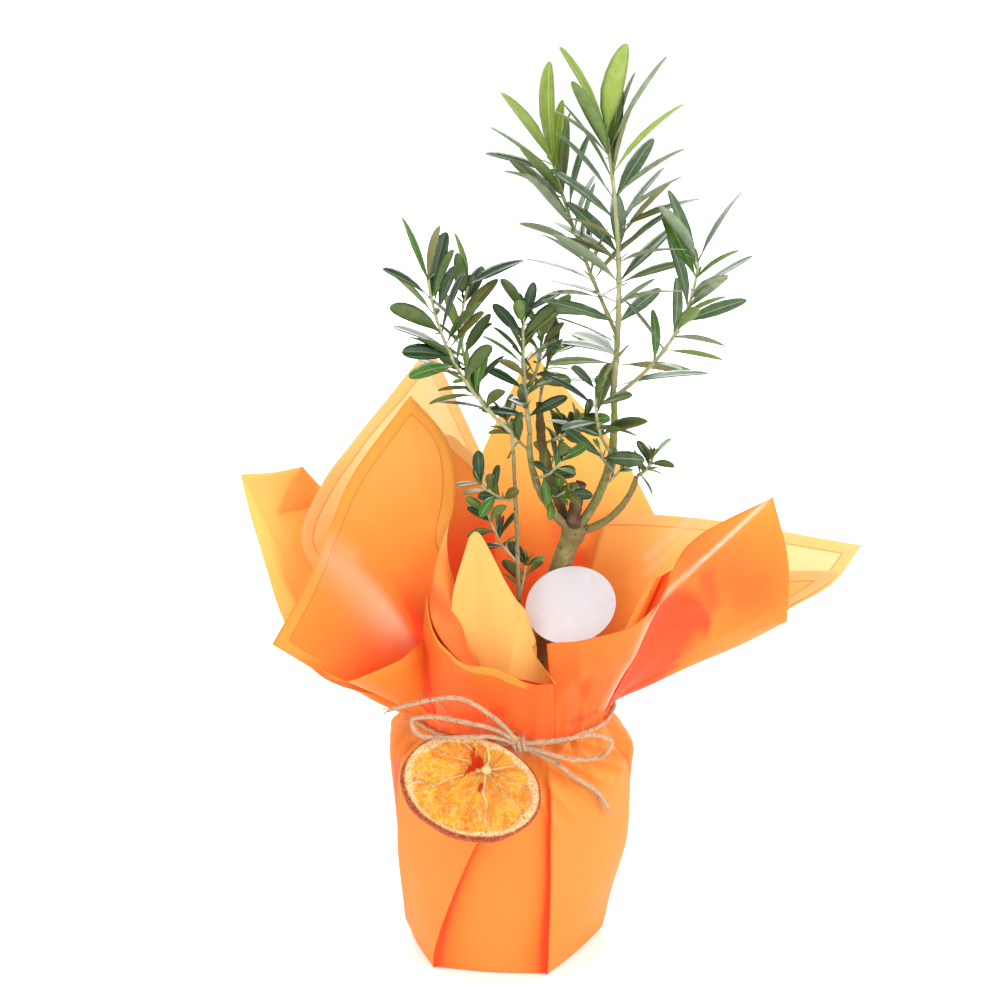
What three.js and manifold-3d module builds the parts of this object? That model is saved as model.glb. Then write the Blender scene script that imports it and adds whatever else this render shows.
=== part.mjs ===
// Olive bonsai in a wrapped pot: a young olive with several stems in a nursery pot, dressed in two sheets
// of florist's film that are gathered at the neck with jute twine, with a dried orange slice and a bare
// card tag. Millimetres, +Z up, front towards -Y. The origin is under the middle of the pot, on the
// surface that it stands on.
import * as THREE from "three";
import { mergeVertices } from "three/addons/utils/BufferGeometryUtils.js";
import Module from "manifold-3d";

const wasm = await Module();
wasm.setup();

// Clearance between neighbouring solids
const GAP = 0.3;
// Distance under which two vertices are one
const WELD = 1e-4;

// Nursery pot and its soil
const POT_BASE_RADIUS = 38;
const POT_RIM_RADIUS = 56;
const POT_RIM_HEIGHT = 108;
const POT_WALL = 1.4;
const POT_FLOOR = 2.2;
const POT_LIP = 2;
const POT_LIP_DEPTH = 8;
const SOIL_TOP = 104;
const POT_SIDES = 36;

// Film round the pot: panels that lap over one another at folds, gathered into a thick neck
const FILM = 0.8;
const SKIRT_FOOT_RADIUS = 53;
const SKIRT_SHOULDER_RADIUS = 61;
const SKIRT_ROUND_HEIGHT = 62;
const SHOULDER_HEIGHT = 106;
const NECK_HEIGHT = 127;
const NECK_TOP = 133;
const NECK_RADIUS = 51.4;
const NECK_BUNDLE = 5;
const NECK_GATHER = 6;
const LAP = 1.4;
const PANEL_BULGE = 2;
// Each fold's azimuth at the foot and at the shoulder, in degrees from +X, and its corner's foot radius
const SKIRT_FOLDS = [
  [-135, -111, 56],
  [-69.5, -73, 50],
  [4, -12, 47.5],
  [60, 60, 48.5],
  [118, 112, 49.5],
  [172, 170, 52],
];
const LAP_STATIONS = [0, 0.2, 0.4, 0.6, 0.8, 0.965];
const SKIRT_LEVELS = [0, 14, 36, SKIRT_ROUND_HEIGHT, 84, SHOULDER_HEIGHT, 113, 120, NECK_HEIGHT, NECK_TOP];

// Petals of film above the neck. neck says which stretch of the gathered ring a petal grows from, as
// [share of the rim, azimuth] pairs, and rim is its free edge from left to right as seen from outside, as
// [azimuth, radius, height] points; each list in rim ends at a corner of the sheet. bow bends a petal up
// before it flares, and inside marks a corner that is turned over, with the film's inner face outwards.
const PETAL_START = NECK_TOP + 2 * GAP;
const PETAL_RINGS = [46.9, 48.8, 50.7];
const PETAL_EDGE_STEPS = 6;
const PETAL_RISE_STEPS = 7;
const PROBE = 1e-3;
const PETALS = [
  {
    name: "film_front",
    ring: 0,
    neck: [[0, -121], [1, -79]],
    rim: [
      [[-119, 51, 180], [-119, 48, 206], [-117, 38.5, 235]],
      [[-92, 41, 205], [-82, 42, 190], [-77, 50, 162]],
    ],
    bow: 0.66,
    inside: true,
  },
  {
    name: "film_front_left",
    ring: 1,
    neck: [[0, -132], [0.67, -127], [0.84, -122], [0.9, -114], [1, -71]],
    rim: [
      [[-131, 72, 178], [-146, 102, 165], [-159, 126, 180]],
      [[-174, 93, 219], [-180, 81, 250], [-196, 53, 290]],
      [[-197, 34, 268], [-168, 29, 246], [-135, 53, 216], [-128, 63, 194], [-110, 62, 174], [-71, 61, 164]],
    ],
    bow: 0.45,
  },
  {
    name: "film_front_right",
    ring: 0,
    neck: [[0, -75], [1, -14]],
    rim: [[[-73, 57, 178], [-55, 68, 188], [-35, 76, 195], [-17, 82, 211]]],
    bow: 0.15,
  },
  {
    name: "film_right_front",
    ring: 2,
    neck: [[0, -46], [1, -2]],
    rim: [
      [[-43, 67, 148], [-38, 91, 206], [-33, 100, 234], [-20, 133, 256]],
      [[-17, 140, 223], [-11, 139, 186], [-1, 130, 168]],
    ],
    bow: 0.1,
  },
  {
    name: "film_right_back",
    ring: 1,
    neck: [[0, -1], [1, 55]],
    rim: [
      [[2, 139, 178], [7, 167, 189], [11, 185, 204]],
      [[25, 119, 213], [37, 91, 215], [52, 72, 216]],
    ],
    bow: 0.25,
  },
  {
    name: "film_back_right",
    ring: 2,
    neck: [[0, 37], [1, 106]],
    rim: [
      [[38, 106, 196], [52, 94, 242], [82, 73, 299]],
      [[101, 72, 248], [107, 69, 230]],
    ],
    bow: 0.2,
  },
  {
    name: "film_back_left",
    ring: 1,
    neck: [[0, 98], [1, 171]],
    rim: [
      [[100, 66, 232], [107, 65, 252], [125, 73, 305]],
      [[146, 97, 257], [161, 102, 240], [173, 108, 213], [173, 88, 182]],
    ],
    bow: 0.4,
  },
  {
    name: "film_left",
    ring: 2,
    neck: [[0, 164], [1, 231]],
    rim: [
      [[150, 118, 205], [157, 117, 244], [178, 136, 252]],
      [[178, 128, 219], [183, 115, 176], [202, 102, 160], [229, 57, 143]],
    ],
    bow: -0.3,
  },
];

// Jute twine: a band round the neck, a knot, two loops and two loose tails
const TWINE_RADIUS = 1.2;
const TWINE_SIDES = 6;
const BAND_HEIGHT = 130;
const BAND_SIDES = 36;
const KNOT_PLACE = [3.4, -57, 132.2];
const KNOT_SIZE = [5.5, 3.2, 3.6];
const KNOT_FACETS = [10, 7];
const TWINE_ROUTES = {
  twine_loop_left: [[-0.4, -57.9, 135.9], [-8, -61.6, 141.8], [-21, -65, 146.8], [-38, -66, 150.4],
    [-48.5, -66, 149], [-46, -67, 142], [-34, -67, 140], [-20, -66, 140], [-9, -61, 137.7],
    [-2.2, -58.2, 133.1]],
  twine_loop_right: [[8.4, -57.9, 134], [24, -62, 137], [40, -59, 138], [49, -56, 133], [45, -58, 127],
    [33, -61.5, 126], [20, -62.5, 129], [8.9, -57.9, 131.1]],
  twine_tail_left: [[2.4, -57.9, 136.5], [-9, -62.4, 148.6], [-25, -66, 160], [-40, -68, 160],
    [-60, -66, 154]],
  twine_tail_right: [[6.7, -58.1, 128.6], [20, -60.6, 125], [31, -57.6, 115], [42, -50.4, 104],
    [48, -44.4, 92]],
};
const TWINE_STEPS = 18;

// Dried orange slice, hung from the knot and leaning out over the shoulder
const SLICE_WIDTH = 70;
const SLICE_HEIGHT = 52;
const SLICE_THICKNESS = 5;
const SLICE_PLACE = [-20.2, -74.8, 116.8];
const SLICE_LEAN = 42;
const SLICE_ROLL = -18;
const SLICE_SIDES = 28;
const SLICE_HOLE = { across: -2, up: 8, width: 7, height: 9 };
const HOLE_SIDES = 8;

// Round card tag that leans from the film to the trunk
const TAG_RADIUS = 22.5;
const TAG_THICKNESS = 0.8;
const TAG_PLACE = [29, -23.6, 193.8];
const TAG_LEAN = 47;
const TAG_ROLL = -8;
const TAG_HOLE_RADIUS = 2.2;
const TAG_HOLE_UP = 17.5;
const TAG_SIDES = 32;

// Limbs: start and tip points, the bow at mid length, and the radius at each end
const FORK = [30.6, -2.3, 223.3];
const FORK_RADIUS = 8.2;
const ROOT_FLARE = 3;
const SHOOT_FLARE = 0.8;
const ROOT_FLARE_HEIGHT = 14;
const TRUNK_SIDES = 12;
const LIMB_SIDES = 8;
const SHOOT_SIDES = 6;
const FORK_FACETS = [12, 8];
const LIMB_STEPS = 9;
const GROUND = SOIL_TOP + GAP;
const TRUNK = { start: [9.5, 1, GROUND], tip: FORK, bow: [-6, 1, 0], radius: [6.2, 5.2] };
const BOUGHS = {
  cut_stub: { start: FORK, tip: [34.4, -8.6, 252], bow: [-1, -1.4, 0], radius: [3.6, 3.1] },
  bough_right: { start: FORK, tip: [49.6, -3, 296.6], bow: [7.5, 1.2, -4], radius: [2.7, 1.8] },
  bough_right_low: { start: FORK, tip: [61.4, -14, 256.8], bow: [4.6, -1.5, -4.5], radius: [2.3, 1.5] },
  bough_left: { start: FORK, tip: [8.7, -10, 278.2], bow: [-6.8, -5.2, -0.6], radius: [2.2, 1.5] },
  bough_old: { start: FORK, tip: [13.9, 10, 288], bow: [-5, 6, 0], radius: [2.9, 2.1] },
};
const BASAL_SHOOT = {
  start: [2.6, -9, GROUND],
  tip: [-0.1, -14, 278.8],
  bow: [2, -3.4, 0],
  radius: [1.6, 1],
};

// Foliage: each mass is one stem with any side shoots, and pairs of leaves at its nodes. from names the limb
// and the place along it (1 is its tip) that the mass grows on, pairs counts the leaf nodes, first is the
// place of the lowest one, leaf is the length at the foot and at the tip, slim is width over length, spread
// the angle off the shoot at the foot and at the tip, and face turns the leaves round the shoot.
const TWIG_SIDES = 4;
const TWIG_STEPS = 5;
const LEAF_THICKNESS = 0.024;
const LEAF_LEAST_THICKNESS = 0.5;
const LEAF_FULLNESS = 0.56;
const LEAF_TAPER = 0.4;
const LEAF_ROOT = 0.6;
const LEAF_ROLL = 50;
const LEAF_SIZES = [0.82, 1.08];
const LEAF_DROOP = 0.16;
const LEAF_TURN = 38;
const LEAF_JITTER = 14;
const LEAF_FACETS = [4, 3];
const FOLIAGE = [
  {
    name: "foliage_leader",
    from: ["bough_right", 1],
    seed: 7,
    shoots: [
      { tip: [45, -2, 421.5], bow: [4.2, 2.5, 0], radius: [1.6, 0.8], pairs: 13, first: 0.03, leaf: [46, 47],
        slim: 0.2, spread: [84, 20], face: 0 },
      { on: [0, 0.22], tip: [20.5, 28, 403], bow: [-2, 6, 0], radius: [1.1, 0.7], pairs: 10, first: 0.12,
        leaf: [32, 44], slim: 0.22, spread: [70, 20], face: 20 },
    ],
  },
  {
    name: "foliage_right",
    from: ["bough_right", 0.97],
    seed: 21,
    shoots: [
      { tip: [88.5, -18, 364.8], bow: [8.5, -5, -2], radius: [1.1, 0.7], pairs: 8, first: 0.3,
        leaf: [26, 42], slim: 0.23, spread: [70, 28], face: -20 },
    ],
  },
  {
    name: "foliage_right_low",
    from: ["bough_right_low", 1],
    seed: 5,
    shoots: [
      { tip: [69, -16, 267], bow: [1, 0, -1], radius: [0.9, 0.6], pairs: 4, first: 0.15, leaf: [14, 13],
        slim: 0.34, spread: [75, 40], face: 10 },
    ],
  },
  {
    name: "foliage_middle",
    from: ["bough_left", 1],
    seed: 33,
    shoots: [
      { tip: [5.5, -4, 336], bow: [-1.5, 4, 0], radius: [1.3, 0.7], pairs: 9, first: 0.12, leaf: [21, 24],
        slim: 0.3, spread: [76, 30], face: 35 },
      { on: [0, 0.3], tip: [14, 18, 322], bow: [3, 3, 0], radius: [0.9, 0.6], pairs: 5, first: 0.3,
        leaf: [18, 22], slim: 0.3, spread: [70, 30], face: 60 },
    ],
  },
  {
    name: "foliage_left",
    from: ["basal_shoot", 1],
    seed: 14,
    shoots: [
      { tip: [-40.2, -26, 358], bow: [-7, -1, -4], radius: [1, 0.7], pairs: 9, first: 0.2, leaf: [22, 33],
        slim: 0.3, spread: [70, 26], face: 0 },
      { on: [0, 0.12], tip: [-21.8, 14, 346], bow: [-9, 4, -3], radius: [0.9, 0.6], pairs: 7, first: 0.25,
        leaf: [20, 28], slim: 0.28, spread: [72, 28], face: 30 },
    ],
  },
  {
    name: "sprig_right_bough",
    from: ["bough_right", 0.62],
    seed: 9,
    shoots: [
      { tip: [41, -16, 301], bow: [-3, -2, -2], radius: [0.9, 0.6], pairs: 4, first: 0.35, leaf: [34, 30],
        slim: 0.28, spread: [80, 40], face: 10 },
    ],
  },
  {
    name: "sprig_right_pair",
    from: ["bough_right", 0.52],
    seed: 4,
    shoots: [
      { tip: [43, -11, 270], bow: [0, 0, -1], radius: [0.8, 0.7], pairs: 1, first: 0.6, leaf: [34, 34],
        slim: 0.34, spread: [58, 58], face: 0 },
    ],
  },
  {
    name: "sprig_right_foot",
    from: ["bough_right", 0.4],
    seed: 18,
    shoots: [
      { tip: [53, -10, 258], bow: [0, 0, -1], radius: [0.8, 0.6], pairs: 2, first: 0.5, leaf: [18, 20],
        slim: 0.34, spread: [70, 40], face: 0 },
    ],
  },
  {
    name: "sprig_old_tip",
    from: ["bough_old", 1],
    seed: 41,
    shoots: [
      { tip: [22, 22, 312], bow: [-1, 3, 2], radius: [0.9, 0.6], pairs: 5, first: 0.25, leaf: [17, 19],
        slim: 0.38, spread: [72, 35], face: 0 },
    ],
  },
  {
    name: "sprig_old_mid",
    from: ["bough_old", 0.66],
    seed: 52,
    shoots: [
      { tip: [36, 14, 277], bow: [0, 2, -2], radius: [0.8, 0.5], pairs: 4, first: 0.35, leaf: [14, 16],
        slim: 0.42, spread: [72, 40], face: 0 },
    ],
  },
  {
    name: "sprig_left_bough",
    from: ["bough_left", 0.6],
    seed: 63,
    shoots: [
      { tip: [24, -26, 268], bow: [0, -2, -2], radius: [0.8, 0.5], pairs: 4, first: 0.35, leaf: [13, 15],
        slim: 0.42, spread: [74, 40], face: 0 },
    ],
  },
  {
    name: "sprig_left_bough_high",
    from: ["bough_left", 0.84],
    seed: 27,
    shoots: [
      { tip: [-3, 0, 282], bow: [-1, 0, -1], radius: [0.8, 0.5], pairs: 4, first: 0.35, leaf: [15, 17],
        slim: 0.4, spread: [74, 36], face: 0 },
    ],
  },
  {
    name: "sprig_left_bough_low",
    from: ["bough_left", 0.42],
    seed: 36,
    shoots: [
      { tip: [26, -24, 252], bow: [0, -1, -1], radius: [0.8, 0.5], pairs: 3, first: 0.35, leaf: [15, 15],
        slim: 0.4, spread: [74, 36], face: 0 },
    ],
  },
  {
    name: "sprig_old_foot",
    from: ["bough_old", 0.45],
    seed: 45,
    shoots: [
      { tip: [26, 24, 268], bow: [0, 1, -1], radius: [0.8, 0.5], pairs: 4, first: 0.35, leaf: [15, 17],
        slim: 0.4, spread: [74, 36], face: 0 },
    ],
  },
  {
    name: "sprig_basal_high",
    from: ["basal_shoot", 0.8],
    seed: 70,
    shoots: [
      { tip: [-15, -25, 256], bow: [-1, -1, -1], radius: [0.7, 0.5], pairs: 4, first: 0.3, leaf: [15, 16],
        slim: 0.36, spread: [74, 40], face: 0 },
    ],
  },
  {
    name: "sprig_basal_mid",
    from: ["basal_shoot", 0.62],
    seed: 83,
    shoots: [
      { tip: [-12, -14, 237], bow: [-1, 0, -2], radius: [0.7, 0.5], pairs: 3, first: 0.4, leaf: [15, 17],
        slim: 0.33, spread: [72, 38], face: 0 },
    ],
  },
  {
    name: "sprig_basal_low",
    from: ["basal_shoot", 0.5],
    seed: 96,
    shoots: [
      { tip: [7, -8, 208], bow: [0, 1, -1], radius: [0.7, 0.5], pairs: 3, first: 0.4, leaf: [15, 15],
        slim: 0.4, spread: [74, 40], face: 0 },
    ],
  },
];

const COLOURS = {
  pot: { color: 0x2a2623, roughness: 0.6 },
  soil: { color: 0x3a2a1e, roughness: 1 },
  film: { color: 0xf7902e, roughness: 0.5 },
  filmInside: { color: 0xfbc24f, roughness: 0.5 },
  twine: { color: 0xc9a46c, roughness: 0.95 },
  slice: { color: 0xf0a52c, roughness: 0.6 },
  tag: { color: 0xf4f4f4, roughness: 0.6 },
  bark: { color: 0x8b7a55, roughness: 0.9 },
  deadBark: { color: 0x5a3f30, roughness: 0.95 },
  greenBark: { color: 0x9aa56a, roughness: 0.8 },
  leaf: { color: 0x4f6b3c, roughness: 0.5 },
};

const group = new THREE.Group();
group.name = "olive_bonsai";
const placed = new Map();

const vector = (point) => new THREE.Vector3(...point);
const mix = THREE.MathUtils.lerp;
const radians = THREE.MathUtils.degToRad;

// A point at an azimuth in degrees, a distance from the pot's axis and a height.
function polar([azimuth, radius, height]) {
  const angle = radians(azimuth);
  return new THREE.Vector3(radius * Math.cos(angle), radius * Math.sin(angle), height);
}

// A seeded source of numbers from 0 to 1: a linear congruential generator on 32 bits.
function seeded(seed) {
  let state = seed >>> 0;
  return () => {
    state = (Math.imul(state, 1664525) + 1013904223) >>> 0;
    return state / 2 ** 32;
  };
}

// A closed geometry as a solid: shared vertices merged, and the triangles that shrink to a line dropped.
function solid(geometry) {
  geometry.deleteAttribute("normal");
  geometry.deleteAttribute("uv");
  const merged = mergeVertices(geometry, WELD);
  const index = merged.index.array;
  const kept = [];
  for (let i = 0; i < index.length; i += 3) {
    const [a, b, c] = [index[i], index[i + 1], index[i + 2]];
    if (a !== b && b !== c && c !== a) kept.push(a, b, c);
  }
  return new wasm.Manifold(
    new wasm.Mesh({
      numProp: 3,
      vertProperties: merged.attributes.position.array,
      triVerts: new Uint32Array(kept),
    }),
  );
}

// A solid's surface as a geometry with flat shading.
function surfaceOf(body) {
  const mesh = body.getMesh();
  const geometry = new THREE.BufferGeometry();
  geometry.setAttribute("position", new THREE.BufferAttribute(new Float32Array(mesh.vertProperties), 3));
  geometry.setIndex(new THREE.BufferAttribute(new Uint32Array(mesh.triVerts), 1));
  geometry.computeVertexNormals();
  return geometry;
}

// Adds a solid to the group as a named mesh.
function add(name, body, look) {
  const material = new THREE.MeshStandardMaterial({ ...look, metalness: 0, flatShading: true });
  const mesh = new THREE.Mesh(surfaceOf(body), material);
  mesh.name = name;
  group.add(mesh);
  placed.set(name, body);
  return body;
}

// Moves each vertex of a geometry to where the rule puts it.
function reshape(geometry, rule) {
  const position = geometry.attributes.position;
  const vertex = new THREE.Vector3();
  for (let i = 0; i < position.count; i++) {
    vertex.copy(rule(vertex.fromBufferAttribute(position, i)));
    position.setXYZ(i, vertex.x, vertex.y, vertex.z);
  }
  return geometry;
}

// A body of revolution about +Z from [radius, height] points
function turned(profile, sides) {
  const points = profile.map(([radius, height]) => new THREE.Vector2(radius, height));
  return new THREE.LatheGeometry(points, sides).rotateX(Math.PI / 2);
}

// True where a solid keeps at least the gap to every solid in the list.
function clearOf(body, others) {
  const box = body.boundingBox();
  return others.every((other) => {
    const near = other.boundingBox();
    const apart = [0, 1, 2].some((k) => box.min[k] > near.max[k] + GAP || near.min[k] > box.max[k] + GAP);
    return apart || body.minGap(other, GAP) >= GAP;
  });
}

// The pot, a thin tapered shell with a lip, and the soil that fills it
function makePot() {
  const foot = FILM + GAP;
  const slope = (POT_RIM_RADIUS - POT_BASE_RADIUS) / (POT_RIM_HEIGHT - foot);
  const wallAt = (height) => POT_BASE_RADIUS + slope * (height - foot);
  const lipFoot = POT_RIM_HEIGHT - POT_LIP_DEPTH;
  const shell = turned(
    [
      [0, foot],
      [POT_BASE_RADIUS, foot],
      [wallAt(lipFoot), lipFoot],
      [wallAt(lipFoot) + POT_LIP, lipFoot],
      [wallAt(POT_RIM_HEIGHT) + POT_LIP, POT_RIM_HEIGHT],
      [wallAt(POT_RIM_HEIGHT) - POT_WALL, POT_RIM_HEIGHT],
      [wallAt(foot + POT_FLOOR) - POT_WALL, foot + POT_FLOOR],
      [0, foot + POT_FLOOR],
    ],
    POT_SIDES,
  );
  add("pot", solid(shell), COLOURS.pot);
  const floor = foot + POT_FLOOR + GAP;
  const inset = POT_WALL + 2 * GAP;
  const fill = turned(
    [
      [0, floor],
      [wallAt(floor) - inset, floor],
      [wallAt(SOIL_TOP) - inset, SOIL_TOP],
      [0, SOIL_TOP],
    ],
    POT_SIDES,
  );
  add("soil", solid(fill), COLOURS.soil);
}

// Radius of the film round the pot, before folds, at a height
function skirtRound(height) {
  const climb = height / SHOULDER_HEIGHT;
  if (climb <= 1) return mix(SKIRT_FOOT_RADIUS, SKIRT_SHOULDER_RADIUS, climb);
  const rise = THREE.MathUtils.smoothstep(height, SHOULDER_HEIGHT, NECK_HEIGHT);
  return mix(SKIRT_SHOULDER_RADIUS, NECK_RADIUS, rise);
}

// Azimuth of a fold at a height, and the radius of its corner at the foot
function foldAt(fold, height) {
  const [foot, shoulder, corner] = SKIRT_FOLDS[fold % SKIRT_FOLDS.length];
  const turn = 360 * Math.floor(fold / SKIRT_FOLDS.length);
  const azimuth = turn + mix(foot, shoulder, Math.min(1, height / SHOULDER_HEIGHT));
  return { azimuth, corner };
}

// The film round the pot: flat panels at the foot that round out towards the shoulder, each lapping over
// the next at a fold, and a thick gathered ring at the neck
function makeSkirt() {
  const outside = SKIRT_LEVELS.map((height) => [skirtRound(height), height]);
  const bundle = NECK_RADIUS - NECK_BUNDLE;
  const inside = SKIRT_LEVELS
    .filter((height) => height > 0 && height < NECK_HEIGHT)
    .map((height) => [skirtRound(height) - FILM, height])
    .reverse();
  const neck = [[bundle, NECK_TOP], [bundle, NECK_HEIGHT]];
  const floor = [[SKIRT_FOOT_RADIUS - FILM, FILM], [0, FILM]];
  const profile = [[0, 0], ...outside, ...neck, ...inside, ...floor];
  const stations = LAP_STATIONS.length;
  const shell = turned(profile, stations * SKIRT_FOLDS.length);
  const sector = 360 / SKIRT_FOLDS.length;
  return reshape(shell, (point) => {
    const radius = Math.hypot(point.x, point.y);
    const turn = (THREE.MathUtils.radToDeg(Math.atan2(point.y, point.x)) + 360) % 360;
    const step = Math.round((turn / 360) * stations * SKIRT_FOLDS.length);
    const panel = Math.floor(step / stations);
    const across = LAP_STATIONS[step % stations];
    const [from, to] = [foldAt(panel, point.z), foldAt(panel + 1, point.z)];
    const azimuth = mix(from.azimuth, to.azimuth, across);
    const width = Math.sin(radians(to.azimuth - from.azimuth));
    const reach = from.corner * Math.sin(radians(azimuth - from.azimuth));
    const rest = to.corner * Math.sin(radians(to.azimuth - azimuth));
    const bulge = 4 * PANEL_BULGE * across * (1 - across);
    const chord = (from.corner * to.corner * width) / (reach + rest) + bulge;
    const roundness = THREE.MathUtils.smoothstep(point.z, 0, SKIRT_ROUND_HEIGHT);
    const panelled = mix(chord / SKIRT_FOOT_RADIUS, 1, roundness);
    const gather = 1 - THREE.MathUtils.smoothstep(point.z, SHOULDER_HEIGHT, NECK_HEIGHT - NECK_GATHER);
    const lap = radius > NECK_RADIUS ? LAP * across * gather : 0;
    return polar([azimuth, radius * panelled + lap, point.z]);
  });
}

// The value at a place in a list of [place, value] pairs, in straight lines between them
function along(pairs, place) {
  const next = Math.max(1, pairs.findIndex(([at]) => at >= place));
  const [[from, low], [to, high]] = [pairs[next - 1], pairs[next]];
  return mix(low, high, (place - from) / (to - from));
}

// The rim of a petal as one curve for each edge of the sheet
function rimCurves(petal) {
  let corner = [];
  return petal.rim.map((edge) => {
    const points = [...corner, ...edge].map(polar);
    corner = [edge[edge.length - 1]];
    return new THREE.CatmullRomCurve3(points, false, "centripetal");
  });
}

// A petal's middle surface: u runs along the neck and the rim, v from the neck to the rim.
function petalSurface(petal) {
  const curves = rimCurves(petal);
  return (u, v) => {
    const place = u * curves.length;
    const edge = Math.min(Math.floor(place), curves.length - 1);
    const rim = curves[edge].getPointAt(place - edge);
    const base = polar([along(petal.neck, u), PETAL_RINGS[petal.ring], PETAL_START]);
    const upright = new THREE.Vector3(base.x, base.y, rim.z);
    const knee = base.clone().lerp(rim, 0.5).lerp(upright, petal.bow);
    return new THREE.QuadraticBezierCurve3(base, knee, rim).getPoint(v);
  };
}

// A thin sheet of even thickness over a surface
function sheet(surface, across, up, thickness) {
  const box = new THREE.BoxGeometry(1, 1, 1, across, up, 1);
  const slope = (at, low, high) => at(high).sub(at(low));
  return reshape(box, (point) => {
    const [u, v] = [point.x + 0.5, point.y + 0.5];
    const course = slope((x) => surface(x, v), Math.max(0, u - PROBE), Math.min(1, u + PROBE));
    const rise = slope((x) => surface(u, x), Math.max(0, v - PROBE), Math.min(1, v + PROBE));
    const normal = course.cross(rise).normalize();
    return surface(u, v).addScaledVector(normal, point.z * thickness);
  });
}

// The petals, each a thin sheet from the neck to its free edge
function makePetals() {
  for (const petal of PETALS) {
    const across = petal.rim.length * PETAL_EDGE_STEPS;
    const body = solid(sheet(petalSurface(petal), across, PETAL_RISE_STEPS, FILM));
    add(petal.name, body, petal.inside ? COLOURS.filmInside : COLOURS.film);
  }
}

// A tube of even radius along a curve, closed at both ends
function tube(points, radius, sides, steps) {
  const section = new THREE.Shape();
  for (let i = 0; i < sides; i++) {
    const angle = (2 * Math.PI * i) / sides;
    const [x, y] = [radius * Math.cos(angle), radius * Math.sin(angle)];
    if (i === 0) section.moveTo(x, y);
    else section.lineTo(x, y);
  }
  const extrudePath = new THREE.CatmullRomCurve3(points.map(vector), false, "centripetal");
  return new THREE.ExtrudeGeometry(section, { steps, extrudePath, bevelEnabled: false });
}

// The twine: a ring round the neck, the knot on it, and a tube for each loop and tail
function makeTwine() {
  const bandRadius = NECK_RADIUS + 2 * GAP + TWINE_RADIUS;
  const ring = [];
  for (let i = 0; i <= TWINE_SIDES; i++) {
    const angle = (2 * Math.PI * i) / TWINE_SIDES;
    ring.push([bandRadius + TWINE_RADIUS * Math.cos(angle), BAND_HEIGHT + TWINE_RADIUS * Math.sin(angle)]);
  }
  add("twine_band", solid(turned(ring, BAND_SIDES)), COLOURS.twine);
  const knot = new THREE.SphereGeometry(1, ...KNOT_FACETS).scale(...KNOT_SIZE).translate(...KNOT_PLACE);
  add("twine_knot", solid(knot), COLOURS.twine);
  for (const [name, route] of Object.entries(TWINE_ROUTES)) {
    add(name, solid(tube(route, TWINE_RADIUS, TWINE_SIDES, TWINE_STEPS)), COLOURS.twine);
  }
}

// An elliptical outline of straight sides
function oval(path, across, up, width, height, sides) {
  for (let i = 0; i < sides; i++) {
    const angle = (2 * Math.PI * i) / sides;
    const [x, y] = [across + (width / 2) * Math.cos(angle), up + (height / 2) * Math.sin(angle)];
    if (i === 0) path.moveTo(x, y);
    else path.lineTo(x, y);
  }
  return path;
}

// A flat plate with a hole, standing upright and facing the front, then rolled, leant back and moved
function leaningPlate(outline, hole, thickness, roll, lean, place) {
  outline.holes.push(hole);
  return new THREE.ExtrudeGeometry(outline, { depth: thickness, bevelEnabled: false })
    .translate(0, 0, -thickness / 2)
    .rotateZ(radians(roll))
    .rotateX(radians(90 - lean))
    .translate(...place);
}

// The orange slice, an oval plate with a torn hole
function makeSlice() {
  const outline = oval(new THREE.Shape(), 0, 0, SLICE_WIDTH, SLICE_HEIGHT, SLICE_SIDES);
  const { across, up, width, height } = SLICE_HOLE;
  const hole = oval(new THREE.Path(), across, up, width, height, HOLE_SIDES);
  const plate = leaningPlate(outline, hole, SLICE_THICKNESS, SLICE_ROLL, SLICE_LEAN, SLICE_PLACE);
  add("orange_slice", solid(plate), COLOURS.slice);
}

// The card tag, a round plate with its string hole
function makeTag() {
  const outline = oval(new THREE.Shape(), 0, 0, 2 * TAG_RADIUS, 2 * TAG_RADIUS, TAG_SIDES);
  const hole = oval(new THREE.Path(), 0, TAG_HOLE_UP, 2 * TAG_HOLE_RADIUS, 2 * TAG_HOLE_RADIUS, HOLE_SIDES);
  const plate = leaningPlate(outline, hole, TAG_THICKNESS, TAG_ROLL, TAG_LEAN, TAG_PLACE);
  add("tag", solid(plate), COLOURS.tag);
}

// The middle line of a limb: from its start to its tip, bowed at mid length
function limbLine({ start, tip, bow }) {
  const [from, to] = [vector(start), vector(tip)];
  const middle = from.clone().lerp(to, 0.5).addScaledVector(vector(bow), 2);
  return new THREE.QuadraticBezierCurve3(from, middle, to);
}

// A tapering limb along its line, with a flat end at each side. grow widens and lengthens it, and flare
// spreads its foot.
function limb(spec, { sides = LIMB_SIDES, steps = LIMB_STEPS, grow = 0, flare = 0 } = {}) {
  const line = limbLine(spec);
  const upright = new THREE.CylinderGeometry(1, 1, 1, sides, steps);
  return reshape(upright, (point) => {
    const t = point.y + 0.5;
    const centre = line.getPoint(t);
    const forward = flare && t === 0 ? new THREE.Vector3(0, 0, 1) : line.getTangent(t);
    if (t === 1) centre.addScaledVector(forward, grow);
    const right = new THREE.Vector3(0, 1, 0).cross(forward).normalize();
    const away = forward.clone().cross(right);
    const foot = flare * Math.max(0, 1 - (centre.z - spec.start[2]) / ROOT_FLARE_HEIGHT) ** 2;
    const radius = mix(spec.radius[0], spec.radius[1], t) + grow + foot;
    return centre.addScaledVector(right, radius * point.z).addScaledVector(away, radius * point.x);
  });
}

const limbs = { ...BOUGHS, basal_shoot: BASAL_SHOOT };

// The swelling at the fork
const knuckle = (radius) => solid(new THREE.SphereGeometry(radius, ...FORK_FACETS).translate(...FORK));

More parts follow.
